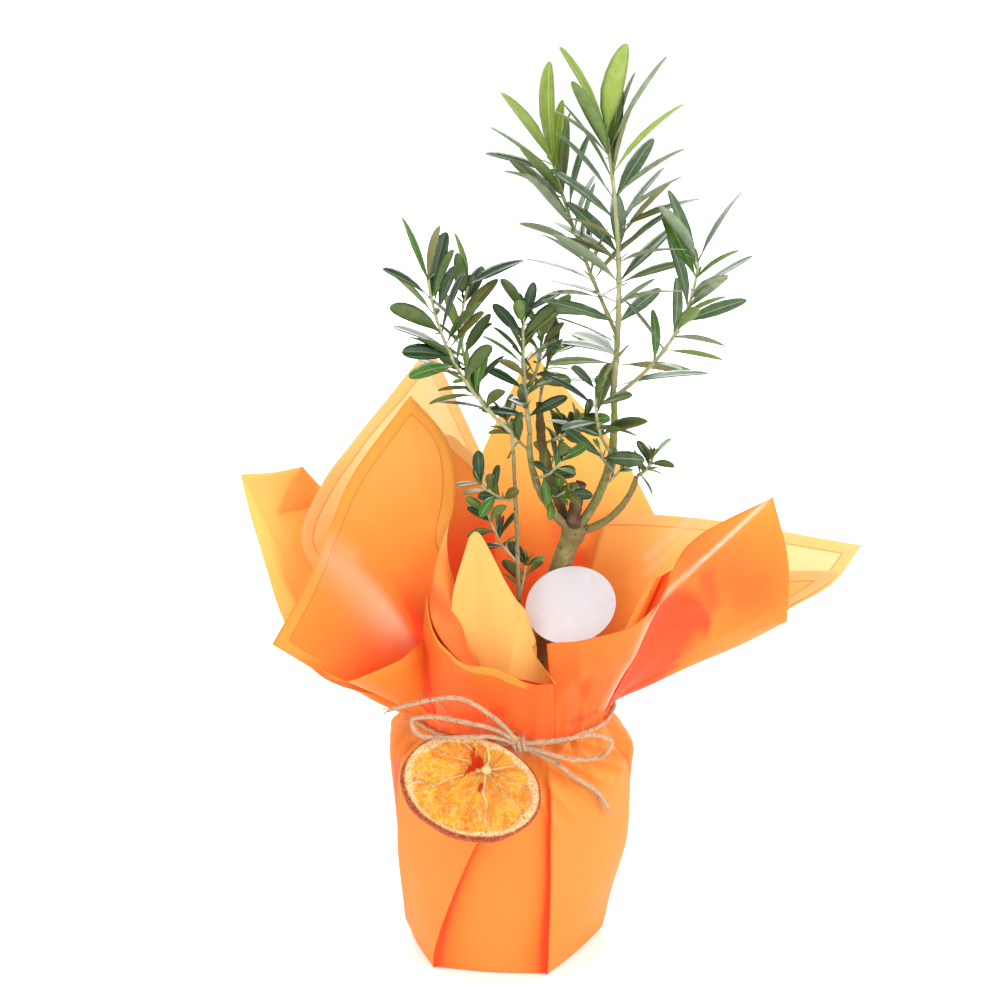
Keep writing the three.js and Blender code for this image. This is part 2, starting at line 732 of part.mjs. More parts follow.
// Trunk with its fork swollen to a knuckle, and the boughs coped to stand clear of it
function makeLimbs() {
  const stem = solid(limb(TRUNK, { sides: TRUNK_SIDES, flare: ROOT_FLARE }));
  const trunk = stem.add(knuckle(FORK_RADIUS));
  add("trunk", trunk, COLOURS.bark);
  const room = knuckle(FORK_RADIUS + GAP).add(solid(limb(TRUNK, { sides: TRUNK_SIDES, grow: GAP })));
  for (const [name, spec] of Object.entries(BOUGHS)) {
    const bough = solid(limb(spec)).subtract(room);
    const dead = name === "cut_stub" || name === "bough_old";
    add(name, largest(bough), dead ? COLOURS.deadBark : COLOURS.bark);
  }
  const shoot = limb(BASAL_SHOOT, { sides: SHOOT_SIDES, flare: SHOOT_FLARE });
  add("basal_shoot", solid(shoot), COLOURS.greenBark);
}

// The largest separate body of a solid, with any sealed hollow filled
function largest(body) {
  const bodies = body.decompose();
  return bodies.reduce((best, next) => (next.volume() > best.volume() ? next : best));
}

// A leaf: a lens of a few faces from its root inside the twig to its tip, arched away from its upper face
function leaf({ root, axis, upper, length, width }) {
  const side = axis.clone().cross(upper);
  const thickness = Math.max(length * LEAF_THICKNESS, LEAF_LEAST_THICKNESS);
  const blade = new THREE.SphereGeometry(1, ...LEAF_FACETS);
  return reshape(blade, (point) => {
    const share = (1 - point.y) / 2;
    const arch = -LEAF_DROOP * length * share * share;
    return root
      .clone()
      .addScaledVector(axis, share * length)
      .addScaledVector(upper, arch + LEAF_FULLNESS * point.x * thickness)
      .addScaledVector(side, LEAF_FULLNESS * point.z * width * (1 + LEAF_TAPER * (0.5 - share)));
  });
}

// The leaves of one shoot: opposite pairs whose plane turns from node to node
function leavesOf(shoot, line, random) {
  const found = [];
  for (let node = 0; node < shoot.pairs; node++) {
    const t = mix(shoot.first, 1, node / Math.max(1, shoot.pairs - 1));
    const forward = line.getTangent(t);
    const right = new THREE.Vector3(0, 1, 0).cross(forward).normalize();
    const away = forward.clone().cross(right);
    const turn = node % 2 ? LEAF_TURN : -LEAF_TURN;
    for (const half of [0, 180]) {
      const around = radians(shoot.face + turn + half + LEAF_JITTER * (2 * random() - 1));
      const lean = radians(mix(shoot.spread[0], shoot.spread[1], t) + LEAF_JITTER * (2 * random() - 1));
      const length = mix(shoot.leaf[0], shoot.leaf[1], t) * mix(...LEAF_SIZES, random());
      const outward = right.clone().multiplyScalar(Math.cos(around)).addScaledVector(away, Math.sin(around));
      const axis = forward.clone().multiplyScalar(Math.cos(lean)).addScaledVector(outward, Math.sin(lean));
      const upper = forward.clone().addScaledVector(axis, -forward.dot(axis)).normalize();
      upper.applyAxisAngle(axis, radians(LEAF_ROLL * (random() - 0.5)));
      const sunk = LEAF_ROOT * mix(shoot.radius[0], shoot.radius[1], t);
      const root = line.getPoint(t).addScaledVector(axis, -sunk);
      found.push({ root, axis, upper, length, width: length * shoot.slim });
    }
  }
  return found;
}

// The twigs of a mass: its stem and side shoots, coped clear of the limb that carries them
function growTwigs(mass) {
  const [limbName, at] = mass.from;
  const carrier = limbs[limbName];
  const lines = [];
  const stems = mass.shoots.map((shoot) => {
    const foot = shoot.on ? lines[shoot.on[0]].getPoint(shoot.on[1]) : limbLine(carrier).getPoint(at);
    const spec = { ...shoot, start: foot.toArray() };
    lines.push(limbLine(spec));
    return solid(limb(spec, { sides: TWIG_SIDES, steps: TWIG_STEPS }));
  });
  const room = solid(limb(carrier, { grow: GAP }));
  const twigs = stems.reduce((whole, stem) => whole.add(stem)).subtract(room);
  return { mass, lines, twigs: largest(twigs) };
}

// The masses of foliage: a leaf is kept where it stays clear of the limbs, the film, the twigs of every
// other mass and the masses made before its own
function makeFoliage() {
  const grown = FOLIAGE.map(growTwigs);
  for (const { mass, lines, twigs } of grown) {
    const random = seeded(mass.seed);
    const others = grown.map((other) => other.twigs).filter((other) => other !== twigs);
    others.push(...placed.values());
    const leaves = mass.shoots
      .flatMap((shoot, i) => leavesOf(shoot, lines[i], random))
      .map((found) => solid(leaf(found)))
      .filter((blade) => clearOf(blade, others));
    const body = leaves.reduce((whole, blade) => whole.add(blade), twigs);
    add(mass.name, largest(body), COLOURS.leaf);
  }
}

makePot();
add("film_skirt", solid(makeSkirt()), COLOURS.film);
makePetals();
makeTwine();
makeSlice();
makeTag();
makeLimbs();
makeFoliage();

export default group;
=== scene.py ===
"""Looks of the olive bonsai in a wrapped pot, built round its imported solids.

Sizes are in millimetres, as in the part's source, and are brought to metres where a mesh is made.
"""

import logging
import math
from collections.abc import Callable, Iterable, Sequence
from dataclasses import dataclass, field, replace
from enum import Enum

import bmesh
import bpy
import numpy as np
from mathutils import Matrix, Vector, noise
from mathutils.bvhtree import BVHTree


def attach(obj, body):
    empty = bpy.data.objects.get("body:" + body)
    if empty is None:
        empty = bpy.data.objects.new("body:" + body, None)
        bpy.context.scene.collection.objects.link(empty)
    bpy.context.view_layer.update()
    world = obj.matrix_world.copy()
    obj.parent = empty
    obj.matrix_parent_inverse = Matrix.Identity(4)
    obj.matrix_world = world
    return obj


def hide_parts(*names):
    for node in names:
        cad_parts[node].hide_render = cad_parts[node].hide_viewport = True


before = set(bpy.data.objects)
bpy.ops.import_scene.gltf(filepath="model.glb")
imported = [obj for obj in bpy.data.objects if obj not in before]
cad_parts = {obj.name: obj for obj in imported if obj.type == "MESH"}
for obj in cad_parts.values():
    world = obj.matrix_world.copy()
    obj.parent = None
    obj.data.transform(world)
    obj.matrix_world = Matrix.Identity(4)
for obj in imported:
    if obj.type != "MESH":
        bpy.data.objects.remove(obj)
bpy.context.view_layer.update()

LOG = logging.getLogger("olive_bonsai")
MM = 0.001
BODY = "root"

Array = np.ndarray
Material = bpy.types.Material
Mesh = bpy.types.Mesh
Piece = bpy.types.Object
Pair = tuple[float, float]
Point = tuple[float, float, float]
Colour = tuple[float, float, float]
Surface = Callable[[Array, Array], Array]


def mix(low: Array | float, high: Array | float, share: Array | float) -> Array | float:
    """Goes from low at share 0 to high at share 1."""
    return low + (high - low) * share


def smoothstep(value: Array | float, low: float, high: float) -> Array:
    """Rises smoothly from 0 at low to 1 at high."""
    share = np.clip((np.asarray(value) - low) / (high - low), 0, 1)
    return share * share * (3 - 2 * share)


def polar(azimuth: Array | float, radius: Array | float, height: Array | float) -> Array:
    """Gives points at azimuths in degrees, distances from the pot's axis and heights."""
    angle = np.radians(azimuth)
    parts = np.broadcast_arrays(radius * np.cos(angle), radius * np.sin(angle), height)
    return np.stack(parts, -1).astype(float)


def unit(vectors: Array) -> Array:
    """Scales vectors to length 1."""
    return vectors / np.maximum(np.linalg.norm(vectors, axis=-1, keepdims=True), 1e-9)


def square_to(forward: Array) -> Array:
    """Gives directions that are square to others and to the frame's depth."""
    return unit(np.cross(np.array([0, 1.0, 0]), forward))


def relief(points: Array, size: float, octaves: int = 3, seed: float = 0) -> Array:
    """Gives fractal noise at points, about -1 to 1, with its largest lumps of a size in millimetres.

    Args:
        points: Places in millimetres, one a row.
        size: Size of the largest lumps.
        octaves: Number of finer and finer layers.
        seed: Offset that picks another pattern.

    Returns:
        One value a point.
    """
    shift = Vector((seed * 17.3, seed * 5.1, seed * 9.7))
    places = (Vector(point) + shift for point in (points / size).tolist())
    return np.fromiter((noise.fractal(place, 1.0, 2.0, octaves) for place in places), float, len(points))


def stroke_distance(points: Array, start: Array, end: Array) -> tuple[Array, Array]:
    """Gives each point's distance from a straight stroke and its share along it.

    Args:
        points: Places, one a row.
        start: The stroke's first end.
        end: The stroke's other end.

    Returns:
        The distances and the shares.
    """
    run = end - start
    share = np.clip((points - start) @ run / max(float(run @ run), 1e-9), 0, 1)
    return np.linalg.norm(points - start - share[:, None] * run, axis=1), share


class Dice:
    """A seeded source of numbers from 0 to 1: a linear congruential generator on 32 bits."""

    def __init__(self, seed: int) -> None:
        """Starts from a seed."""
        self.state = seed

    def roll(self) -> float:
        """Gives the next number."""
        self.state = (self.state * 1664525 + 1013904223) % 2**32
        return self.state / 2**32

    def between(self, low: float, high: float) -> float:
        """Gives the next number from low to high."""
        return mix(low, high, self.roll())


class Curve:
    """A smooth curve through points, a centripetal Catmull-Rom spline."""

    SAMPLES = 200

    def __init__(self, points: Sequence[Sequence[float]] | Array) -> None:
        """Fits the curve to its points and measures it."""
        line = np.asarray(points, float)
        self.knots = np.vstack([2 * line[0] - line[1], line, 2 * line[-1] - line[-2]])
        self.shares = np.linspace(0, 1, self.SAMPLES + 1)
        steps = np.linalg.norm(np.diff(self.at(self.shares), axis=0), axis=1)
        self.lengths = np.concatenate([[0], np.cumsum(steps)])

    def at(self, share: Array) -> Array:
        """Gives the points at shares of the curve's spans.

        Args:
            share: Shares from 0 at the first point to 1 at the last.

        Returns:
            The points.
        """
        spans = len(self.knots) - 3
        place = np.clip(np.asarray(share, float) * spans, 0, spans - 1e-9)
        index = place.astype(int)
        t = (place - index)[..., None]
        a, b, c, d = (self.knots[index + k] for k in range(4))
        ab, bc, cd = (((q - p) ** 2).sum(-1, keepdims=True) ** 0.25 for p, q in ((a, b), (b, c), (c, d)))
        leave = ((b - a) / ab - (c - a) / (ab + bc) + (c - b) / bc) * bc
        reach = ((c - b) / bc - (d - b) / (bc + cd) + (d - c) / cd) * bc
        square = 3 * (c - b) - 2 * leave - reach
        cube = 2 * (b - c) + leave + reach
        return b + t * (leave + t * (square + t * cube))

    def spaced(self, share: Array) -> Array:
        """Gives the points at shares of the curve's length."""
        return self.at(np.interp(np.asarray(share) * self.lengths[-1], self.lengths, self.shares))


class Shade:
    """A shader socket that takes part in arithmetic."""

    def __init__(self, graph: "Graph", socket: bpy.types.NodeSocket) -> None:
        """Wraps an output socket of a graph."""
        self.graph = graph
        self.socket = socket

    def __add__(self, other: "Shade | float") -> "Shade":
        """Adds."""
        return self.graph.math("ADD", self, other)

    __radd__ = __add__

    def __sub__(self, other: "Shade | float") -> "Shade":
        """Subtracts."""
        return self.graph.math("SUBTRACT", self, other)

    def __rsub__(self, other: float) -> "Shade":
        """Subtracts from a number."""
        return self.graph.math("SUBTRACT", other, self)

    def __mul__(self, other: "Shade | float") -> "Shade":
        """Multiplies."""
        return self.graph.math("MULTIPLY", self, other)

    __rmul__ = __mul__

    def __abs__(self) -> "Shade":
        """Drops the sign."""
        return self.graph.math("ABSOLUTE", self, 0.0)


Value = Shade | float | tuple


class Graph:
    """A material's node tree, written as Python expressions."""

    def __init__(self, name: str) -> None:
        """Starts an empty material of that name."""
        self.material = bpy.data.materials.new(name)
        self.material.use_nodes = True
        self.tree = self.material.node_tree
        self.tree.nodes.clear()

    def add(self, kind: str, inputs: dict[int | str, Value], out: int | str = 0, **settings: str) -> Shade:
        """Adds a node.

        Args:
            kind: The node's type, without its ShaderNode prefix.
            inputs: Values or links of its sockets, by name or place.
            out: The output that is used.
            settings: The node's own settings, set before its sockets.

        Returns:
            That output.
        """
        node = self.tree.nodes.new(f"ShaderNode{kind}")
        for key, setting in settings.items():
            setattr(node, key, setting)
        for key, value in inputs.items():
            if isinstance(value, Shade):
                self.tree.links.new(value.socket, node.inputs[key])
            elif isinstance(value, tuple) and node.inputs[key].type == "RGBA":
                node.inputs[key].default_value = (*value, 1.0)
            else:
                node.inputs[key].default_value = value
        return Shade(self, node.outputs[out])

    def math(self, operation: str, first: Value, second: Value) -> Shade:
        """Adds a Math node."""
        return self.add("Math", {0: first, 1: second}, operation=operation)

    def blend(self, low: Value, high: Value, share: Value) -> Shade:
        """Mixes two colours."""
        return self.add("Mix", {0: share, 6: low, 7: high}, out=2, data_type="RGBA")

    def step(self, value: Shade, low: float, high: float) -> Shade:
        """Rises smoothly from 0 at low to 1 at high, or falls where high is the smaller."""
        ends = {"Value": value, "From Min": low, "From Max": high}
        return self.add("MapRange", ends, interpolation_type="SMOOTHSTEP")

    def attribute(self, name: str, out: str = "Fac") -> Shade:
        """Reads an attribute of the mesh."""
        return self.add("Attribute", {}, out=out, attribute_name=name)

    def noise(self, size: float, detail: float = 3.0, where: Shade | None = None) -> Shade:
        """Gives noise with lumps of a size in millimetres, on Object coordinates or another vector."""
        place = where or self.add("TexCoord", {}, out="Object")
        scale = 1 / size if where else 1 / (size * MM)
        return self.add("TexNoise", {"Vector": place, "Scale": scale, "Detail": detail})

    def bump(self, height: Shade, depth: float, strength: float = 1.0) -> Shade:
        """Turns heights into normals, for relief of a depth in millimetres."""
        return self.add("Bump", {"Height": height, "Distance": depth * MM, "Strength": strength})

    def close(self, shader: Shade) -> Material:
        """Ends the graph with a shader and gives its material."""
        output = self.tree.nodes.new("ShaderNodeOutputMaterial")
        self.tree.links.new(shader.socket, output.inputs["Surface"])
        return self.material

    def skin(self, inputs: dict[str, Value]) -> Material:
        """Ends the graph with a Principled shader and gives its material."""
        return self.close(self.add("BsdfPrincipled", inputs))


def new_object(name: str, mesh: Mesh, finishes: Iterable[Material]) -> Piece:
    """Puts a mesh with its materials into the scene, smoothly shaded."""
    for finish in finishes:
        mesh.materials.append(finish)
    mesh.shade_smooth()
    piece = bpy.data.objects.new(name, mesh)
    bpy.context.scene.collection.objects.link(piece)
    return piece


def mesh_of(name: str, shape: bmesh.types.BMesh) -> Mesh:
    """Turns a shape into a mesh and frees the shape."""
    mesh = bpy.data.meshes.new(name)
    shape.to_mesh(mesh)
    shape.free()
    return mesh


def read_vectors(mesh: Mesh, what: str) -> Array:
    """Reads a vector of every vertex, such as its place."""
    flat = np.empty(3 * len(mesh.vertices), np.float32)
    mesh.vertices.foreach_get(what, flat)
    return flat.reshape(-1, 3).astype(float)


def place_vertices(mesh: Mesh, points: Array) -> None:
    """Moves the vertices to places in millimetres."""
    mesh.vertices.foreach_set("co", (points * MM).astype(np.float32).ravel())


def thicken(piece: Piece, thickness: float, offset: float = 0, far_face: int = 0) -> None:
    """Gives a sheet a thickness in millimetres; far_face counts on to its far side's material."""
    wall = piece.modifiers.new("wall", "SOLIDIFY")
    wall.thickness, wall.offset, wall.material_offset = thickness * MM, offset, far_face


def set_values(mesh: Mesh, values: dict[str, Array]) -> None:
    """Stores numbers or vectors on a mesh's vertices as attributes."""
    for name, value in values.items():
        vector = value.ndim == 2
        layer = mesh.attributes.new(name, "FLOAT_VECTOR" if vector else "FLOAT", "POINT")
        layer.data.foreach_set("vector" if vector else "value", value.astype(np.float32).ravel())


def merge(mesh: Mesh, distance: float = 0.004) -> None:
    """Merges a mesh's doubled vertices and points its faces outwards."""
    shape = bmesh.new()
    shape.from_mesh(mesh)
    bmesh.ops.remove_doubles(shape, verts=shape.verts, dist=distance * MM)
    bmesh.ops.recalc_face_normals(shape, faces=shape.faces)
    shape.to_mesh(mesh)
    shape.free()


def grid_mesh(
    name: str, columns: int, rows: int, place: Surface, values: Callable[..., dict[str, Array]] | None = None
) -> Mesh:
    """Makes a sheet over a surface.

    Args:
        name: The mesh's name.
        columns: Faces across, along u.
        rows: Faces up, along v.
        place: Gives the points in millimetres for arrays of u and v, both from 0 to 1.
        values: Gives attributes from u, v and the points.

    Returns:
        The mesh, with its faces towards the side from which u runs right and v up.
    """
    shape = bmesh.new()
    bmesh.ops.create_grid(shape, x_segments=columns, y_segments=rows, size=0.5)
    mesh = mesh_of(name, shape)
    u, v = np.clip(read_vectors(mesh, "co")[:, :2].T + 0.5, 0, 1)
    points = place(u, v)
    place_vertices(mesh, points)
    if values:
        set_values(mesh, values(u, v, points))
    return mesh


def register(piece: Piece, nodes: Sequence[str] = ()) -> Piece:
    """Hands a finished piece to the frame.

    Args:
        piece: The object, which rides on the plant's one body.
        nodes: The solids that it stands for.

    Returns:
        The piece.
    """
    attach(piece, BODY)
    if nodes:
        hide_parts(*nodes)
    LOG.info("%s: %d faces for %s", piece.name, len(piece.data.polygons), ", ".join(nodes) or "no solid")
    return piece


class Batch:
    """Many small closed shapes that are joined into one mesh."""

    def __init__(self) -> None:
        """Starts empty."""
        self.points: list[Array] = []
        self.faces: list[tuple[int, ...]] = []
        self.kinds: list[int] = []
        self.values: dict[str, list[Array]] = {}
        self.count = 0

    def loft(self, rings: Array, kinds: Sequence[int] | None = None, **values: Array | float) -> None:
        """Adds a closed skin over a row of rings.

        Args:
            rings: Points by ring, by place round the ring and by axis.
            kinds: The material of the faces at each place round the ring.
            values: Attributes, one number for all or one a ring.
        """
        length, sides = rings.shape[:2]
        kinds = kinds or [0] * sides
        start = self.count
        for ring in range(length - 1):
            low, high = start + ring * sides, start + (ring + 1) * sides
            for side in range(sides):
                after = (side + 1) % sides
                self.faces.append((low + side, low + after, high + after, high + side))
                self.kinds.append(kinds[side])
        last = start + (length - 1) * sides
        self.faces.append(tuple(range(start + sides - 1, start - 1, -1)))
        self.faces.append(tuple(range(last, last + sides)))
        self.kinds += [kinds[0], kinds[0]]
        self.points.append(rings.reshape(-1, 3))
        for name, value in values.items():
            spread = np.repeat(np.broadcast_to(value, length), sides)
            self.values.setdefault(name, []).append(spread)
        self.count += length * sides

    def tube(self, line: Array, radius: Array | float, sides: int, **values: Array | float) -> None:
        """Adds a tube along a line of points, with its radius at each."""
        right, away = frames(line)
        angle = np.linspace(0, 2 * math.pi, sides, endpoint=False)
        around = right[:, None] * np.cos(angle)[:, None] + away[:, None] * np.sin(angle)[:, None]
        width = np.broadcast_to(radius, len(line))[:, None, None]
        self.loft(line[:, None] + around * width, **values)

    def build(self, name: str, finishes: Iterable[Material]) -> Piece:
        """Joins the shapes into one object with those materials."""
        mesh = bpy.data.meshes.new(name)
        mesh.from_pydata((np.concatenate(self.points) * MM).tolist(), [], self.faces)
        mesh.polygons.foreach_set("material_index", self.kinds)
        set_values(mesh, {key: np.concatenate(parts) for key, parts in self.values.items()})
        return new_object(name, mesh, finishes)


def frames(line: Array) -> tuple[Array, Array]:
    """Gives two directions square to a line at each of its points, turning as little as they can.

    Args:
        line: The line's points.

    Returns:
        The first directions and the second ones.
    """
    along = unit(np.gradient(line, axis=0))
    spare = np.eye(3)[np.argmin(np.abs(along[0]))]
    right = [unit(np.cross(spare, along[0]))]
    for direction in along[1:]:
        carried = right[-1] - direction * (right[-1] @ direction)
        right.append(unit(carried))
    rights = np.array(right)
    return rights, np.cross(along, rights)


@dataclass(frozen=True)
class FilmFinish:
    """One face of the florist film: satin, lit through, with painted shade deeper where layers gather,
    painted light and painted highlights.

    lit_side is the sign of the gleams that this face shows.
    """

    name: str
    face: Colour
    # middle and the next colour are painted shade, half and full: the film's red where it lies in folds and
    # gathers.
    middle: Colour
    painted_shade: Colour
    band: Colour
    line: Colour
    through: float
    glow: Colour
    lit_side: int
    # pale is painted light: the paler colour where the film glows, lit from behind.
    pale: Colour = (1.0, 0.87, 0.56)
    # gleam is the colour of painted highlights.
    gleam: Colour = (1.0, 0.91, 0.7)
    roughness: float = 0.42
    band_width: float = 6.2
    line_width: float = 0.6

    def material(self) -> Material:
        """Builds the film's material."""
        graph = Graph(self.name)
        edge, border = graph.attribute("edge"), graph.attribute("border")
        # The depth attribute is painted shade, and painted light below zero; a random cloud is added to it.
        depth = graph.attribute("depth")
        # Painted highlights, shown on the face that they are meant for.
        gleam = graph.math("MAXIMUM", graph.attribute("gleam") * self.lit_side, 0.0)
        cloudy = graph.noise(38, 2.0)
        shade_level = depth + (cloudy - 0.5) * 0.16
        face = graph.blend(self.face, self.middle, graph.step(shade_level, 0.0, 0.55))
        face = graph.blend(face, self.painted_shade, graph.step(shade_level, 0.4, 1.0))
        # Painted light: paler where the painted shade is below zero.
        face = graph.blend(face, self.pale, graph.step(shade_level, 0.0, -0.5))
        inside = graph.step(edge, self.band_width + 0.12, self.band_width - 0.12) * border
        face = graph.blend(face, self.band, inside * 0.85)
        line = graph.step(abs(edge - self.band_width), self.line_width, 0.15) * border
        face = graph.blend(face, self.line, line * 0.85)
        face = graph.blend(face, self.gleam, gleam)
        crinkle = graph.noise(7, 4.0) + graph.noise(0.7, 1.0) * 0.06
        normal = graph.bump(crinkle, 0.35, 0.5)
        satin = graph.add("BsdfPrincipled", {
            "Base Color": face,
            "Roughness": self.roughness + graph.noise(5, 2.0) * 0.12,
            "Normal": normal,
            "Specular IOR Level": 0.1,
        })
        lit = graph.add("BsdfTranslucent", {"Color": self.glow, "Normal": normal})
        # Less light passes through where the painted shade is deep.
        through = self.through * (1 - graph.step(shade_level, 0.15, 0.9) * 0.72)
        return graph.close(graph.add("MixShader", {0: through, 1: satin, 2: lit}))


@dataclass(frozen=True)
class TwineFinish:
    """Jute: fibrous, pale tan with darker strands."""

    pale: Colour = (0.62, 0.405, 0.23)
    dark: Colour = (0.29, 0.17, 0.085)

    def material(self) -> Material:
        """Builds the twine's material."""
        graph = Graph("jute")
        fleck = graph.noise(1.1, 4.0)
        patch = graph.noise(9, 2.0)
        colour = graph.blend(self.pale, self.dark, graph.step(fleck * 0.7 + patch * 0.3, 0.42, 0.72))
        return graph.skin({
            "Base Color": colour,
            "Roughness": 0.9,
            "Normal": graph.bump(graph.noise(0.35, 3.0), 0.12, 0.7),
            "Sheen Weight": 0.25,
        })


@dataclass(frozen=True)
class SliceFinish:
    """Dried orange: a dark rind, a cream pith, pale membranes and fibrous flesh."""

    rind: Colour = (0.33, 0.038, 0.01)
    rind_light: Colour = (0.66, 0.16, 0.04)
    # pit is painted dark red: the shade seen into a small hole.
    pit: Colour = (0.72, 0.075, 0.008)
    pith: Colour = (0.95, 0.64, 0.3)
    pith_spot: Colour = (0.58, 0.19, 0.045)
    membrane: Colour = (1.0, 0.74, 0.36)
    flesh: Colour = (0.88, 0.24, 0.004)
    flesh_light: Colour = (0.98, 0.43, 0.015)
    flesh_dark: Colour = (0.62, 0.12, 0.004)

    def material(self) -> Material:
        """Builds the slice's material."""
        graph = Graph("dried_orange")
        fibre = graph.attribute("fibre", "Vector")
        streak = graph.noise(1.3, 3.0, fibre)
        cell = graph.noise(0.42, 2.0, fibre)
        vein = graph.step(abs(cell - 0.5), 0.07, 0.005)
        flesh = graph.blend(self.flesh, self.flesh_light, graph.step(streak, 0.4, 0.62))
        flesh = graph.blend(flesh, self.flesh_dark, graph.step(cell, 0.54, 0.72) * 0.6)
        flesh = graph.blend(flesh, self.membrane, vein * 0.4)
        speck = graph.noise(0.9, 3.0)
        pith = graph.blend(self.pith, self.pith_spot, graph.step(speck, 0.5, 0.7) * 0.85)
        rind = graph.blend(self.rind, self.rind_light, graph.step(graph.noise(0.8, 3.0), 0.42, 0.7))
        membrane = graph.attribute("membrane")
        colour = graph.blend(flesh, self.membrane, membrane * 0.9)
        # Painted shade in the small pit, as if seen into a hole.
        colour = graph.blend(colour, self.pit, graph.attribute("pit"))
        colour = graph.blend(colour, pith, graph.attribute("pith"))
        colour = graph.blend(colour, rind, graph.attribute("rind"))
        return graph.skin({
            "Base Color": colour,
            "Roughness": 0.42 + graph.noise(1.5, 2.0) * 0.3,
            "Normal": graph.bump((streak + cell + vein * 0.4) * (1 - membrane * 0.9) + speck * 0.5, 0.8),
            "Specular IOR Level": 0.25,
        })


@dataclass(frozen=True)
class CardFinish:
    """Smooth white card with a faint cloud of fibres."""

    white: Colour = (0.75, 0.72, 0.75)
    cloud: Colour = (0.72, 0.685, 0.715)

    def material(self) -> Material:
        """Builds the card's material."""
        graph = Graph("white_card")
        colour = graph.blend(self.white, self.cloud, graph.step(graph.noise(9, 3.0), 0.3, 0.8))
        return graph.skin({
            "Base Color": colour,
            "Roughness": 0.5 + graph.noise(2, 2.0) * 0.1,
            "Normal": graph.bump(graph.noise(0.4, 2.0), 0.02, 0.4),
        })


@dataclass(frozen=True)
class BarkFinish:
    """Bark with pale specks and dark pores, whose green shows by an attribute of the mesh."""

    name: str
    brown: Colour
    green: Colour
    pale: Colour
    dark: Colour
    grain: float = 1.6
    roughness: float = 0.7

    def material(self) -> Material:
        """Builds the bark's material."""
        graph = Graph(self.name)
        patch = graph.noise(6, 4.0)
        fleck = graph.noise(self.grain, 4.0)
        pore = graph.noise(2.4, 1.0)
        colour = graph.blend(self.brown, self.green, graph.attribute("green"))
        colour = graph.blend(colour, self.pale, graph.step(patch, 0.48, 0.72) * 0.6)
        colour = graph.blend(colour, self.dark, graph.step(fleck, 0.55, 0.76) * 0.7)
        colour = graph.blend(colour, self.dark, graph.step(pore, 0.68, 0.76))
        colour = graph.blend(colour, self.dark, graph.attribute("worn"))
        return graph.skin({
            "Base Color": colour,
            "Roughness": self.roughness + patch * 0.15,
            "Normal": graph.bump(fleck + pore * 0.5, 0.35, 0.8),
            "Specular IOR Level": 0.3,
        })


@dataclass(frozen=True)
class LeafFinish:
    """One face of an olive leaf: a plain colour with faint clouds, glossy above and dull below."""

    name: str
    colour: Colour
    cloud: Colour
    roughness: float
    coat: float = 0.0

    def material(self) -> Material:
        """Builds the leaf face's material."""
        graph = Graph(self.name)
        cloud = graph.noise(5, 3.0)
        return graph.skin({
            "Base Color": graph.blend(self.colour, self.cloud, graph.step(cloud, 0.38, 0.7)),
            "Roughness": self.roughness + graph.noise(2, 2.0) * 0.12,
            "Normal": graph.bump(graph.noise(1.1, 3.0), 0.12, 0.5),
            "Coat Weight": self.coat,
            "Coat Roughness": 0.22,
            "Specular IOR Level": 0.34,
        })


@dataclass(frozen=True)
class PlainFinish:
    """A mottled dull finish for the pot and the soil."""

    name: str
    colour: Colour
    mottle: Colour
    size: float
    roughness: float
    depth: float

    def material(self) -> Material:
        """Builds the mottled material."""
        graph = Graph(self.name)
        lump = graph.noise(self.size, 4.0)
        return graph.skin({
            "Base Color": graph.blend(self.colour, self.mottle, graph.step(lump, 0.35, 0.7)),
            "Roughness": self.roughness + graph.noise(self.size / 2, 2.0) * 0.1,
            "Normal": graph.bump(lump, self.depth, 0.7),
        })


class Lap(Enum):
    """Which panel lies on top at a fold of the film, going round with the azimuth."""

    BEFORE = "the panel before the fold"
    AFTER = "the panel after the fold"


@dataclass(frozen=True)
class Fold:
    """A fold of the film round the pot, with its azimuths, its corner's radius at the foot and its lap.

    Beside the fold the lower panel is painted darker red over a width, as painted shade under the raised
    panel. bend curves the fold: under 1 it leaves its foot quickly.
    """

    foot: float
    shoulder: float
    corner: float
    lap: Lap
    raised: float = 1.5
    fold_shade: float = 0.6
    fold_shade_width: float = 4
    bend: float = 1.0


@dataclass(frozen=True)
class Streak:
    """A soft stroke on a sheet, between two places given as shares along its rim and up the sheet.

    side keeps it to one side of its line, 1 for the left and -1 for the right. fade is the part of its
    strength that is left at its start.
    """

    start: Pair
    end: Pair
    width: float
    strength: float
    side: int = 0
    fade: float = 1.0

    def kept(self, u: Array, v: Array) -> Array:
        """Tells how far the stroke shows at shares of the sheet, by its side."""
        if not self.side:
            return np.ones_like(u)
        run, rise = self.end[0] - self.start[0], self.end[1] - self.start[1]
        cross = run * (v - self.start[1]) - rise * (u - self.start[0])
        return smoothstep(self.side * cross / math.hypot(run, rise), -0.012, 0.028)


def plain_values(depth: Array) -> dict[str, Array]:
    """Gives the attributes of film without border or painted highlight, with its painted shade."""
    flat = np.zeros_like(depth)
    return {"edge": flat + 99, "border": flat, "depth": depth, "gleam": flat}


